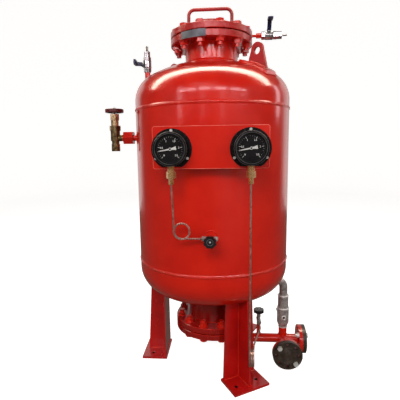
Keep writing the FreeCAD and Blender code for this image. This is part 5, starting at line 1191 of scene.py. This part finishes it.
for side in (-1, 1):
    spot = (side * 2.7, -1.6, 1.6)
    soft(f"soft side {side}", spot, (0, 0, 0.85), (1.8, 2.2), 1.5, (1, 0.97, 0.95))
for side in (-1, 1):
    spot = (side * 1.7, 3.0, 2.2)
    soft(f"soft back {side}", spot, (0, 0, 0.8), (1.8, 2.0), 2.6, (1, 0.97, 0.95))
reflected("back wall", (0, 3.1, 1.6), (0, 0, 1.0), (9, 3.2), 0.6, (1, 0.92, 0.9))
soft("soft top", (0, 0.4, 3.4), (0, 0, 1), (3.0, 3.0), 0.15, (1, 0.95, 0.88))
print("lamps:", len(bpy.data.lights))

# %% Studio air
world = bpy.data.worlds.new("studio air")
world.use_nodes = True
air = world.node_tree.nodes["Background"]
air.inputs["Color"].default_value = (1, 0.84, 0.7, 1)
air.inputs["Strength"].default_value = 0.13
bpy.context.scene.world = world
bpy.context.scene.view_settings.view_transform = "Standard"
print("air strength", round(air.inputs["Strength"].default_value, 2))

# %% [markdown]
# ## Pale floor and round backdrop
# A photographer's backdrop curves up behind the work so that no corner shows.  Here one edge
# with a rounded turn is spun about the tank's axis, so the backdrop is there from every side.
# Its paper glows a little of its own and throws no shadow, and gloss doesn't reflect it.

# %% Pale bowl
FLOOR_REACH, TURN_RADIUS, WALL_TOP = 6.4, 1.6, 9


def pale_bowl():
    """Floor that curves up into a round wall, spun from one edge about the tank's axis."""
    mesh = bmesh.new()
    middle_floor = mesh.verts.new((0, 0, 0))
    turn_up = mesh.verts.new((FLOOR_REACH, 0, 0))
    mesh.edges.new((middle_floor, turn_up))
    bmesh.ops.spin(
        mesh, geom=[turn_up], cent=(FLOOR_REACH, 0, TURN_RADIUS), axis=FRONT, angle=math.pi / 2,
        steps=12,
    )
    rim = bmesh.ops.extrude_vert_indiv(mesh, verts=[max(mesh.verts, key=lambda vert: vert.co.z)])
    rim["verts"][0].co.z = WALL_TOP
    bmesh.ops.spin(
        mesh, geom=mesh.verts[:] + mesh.edges[:], cent=(0, 0, 0), axis=UP, angle=math.tau,
        steps=72, use_merge=True,
    )
    bmesh.ops.remove_doubles(mesh, verts=mesh.verts[:], dist=0.0001)
    bmesh.ops.recalc_face_normals(mesh, faces=mesh.faces[:])
    data = as_mesh(mesh, "pale bowl")
    data.shade_smooth()
    bowl = bpy.data.objects.new("pale bowl", data)
    bpy.context.scene.collection.objects.link(bowl)
    return bowl


sweep = pale_bowl()
paper, _, paper_shader = new_finish("backdrop paper", 0.9)
paper_shader.inputs["Base Color"].default_value = (0.7, 0.7, 0.7, 1)
paper_shader.inputs["Emission Color"].default_value = (1, 1, 1, 1)
paper_shader.inputs["Emission Strength"].default_value = 0.86
sweep.data.materials.append(paper)
sweep.visible_diffuse = False
sweep.visible_glossy = False
sweep.visible_shadow = False
print("bowl of", len(sweep.data.polygons), "faces")
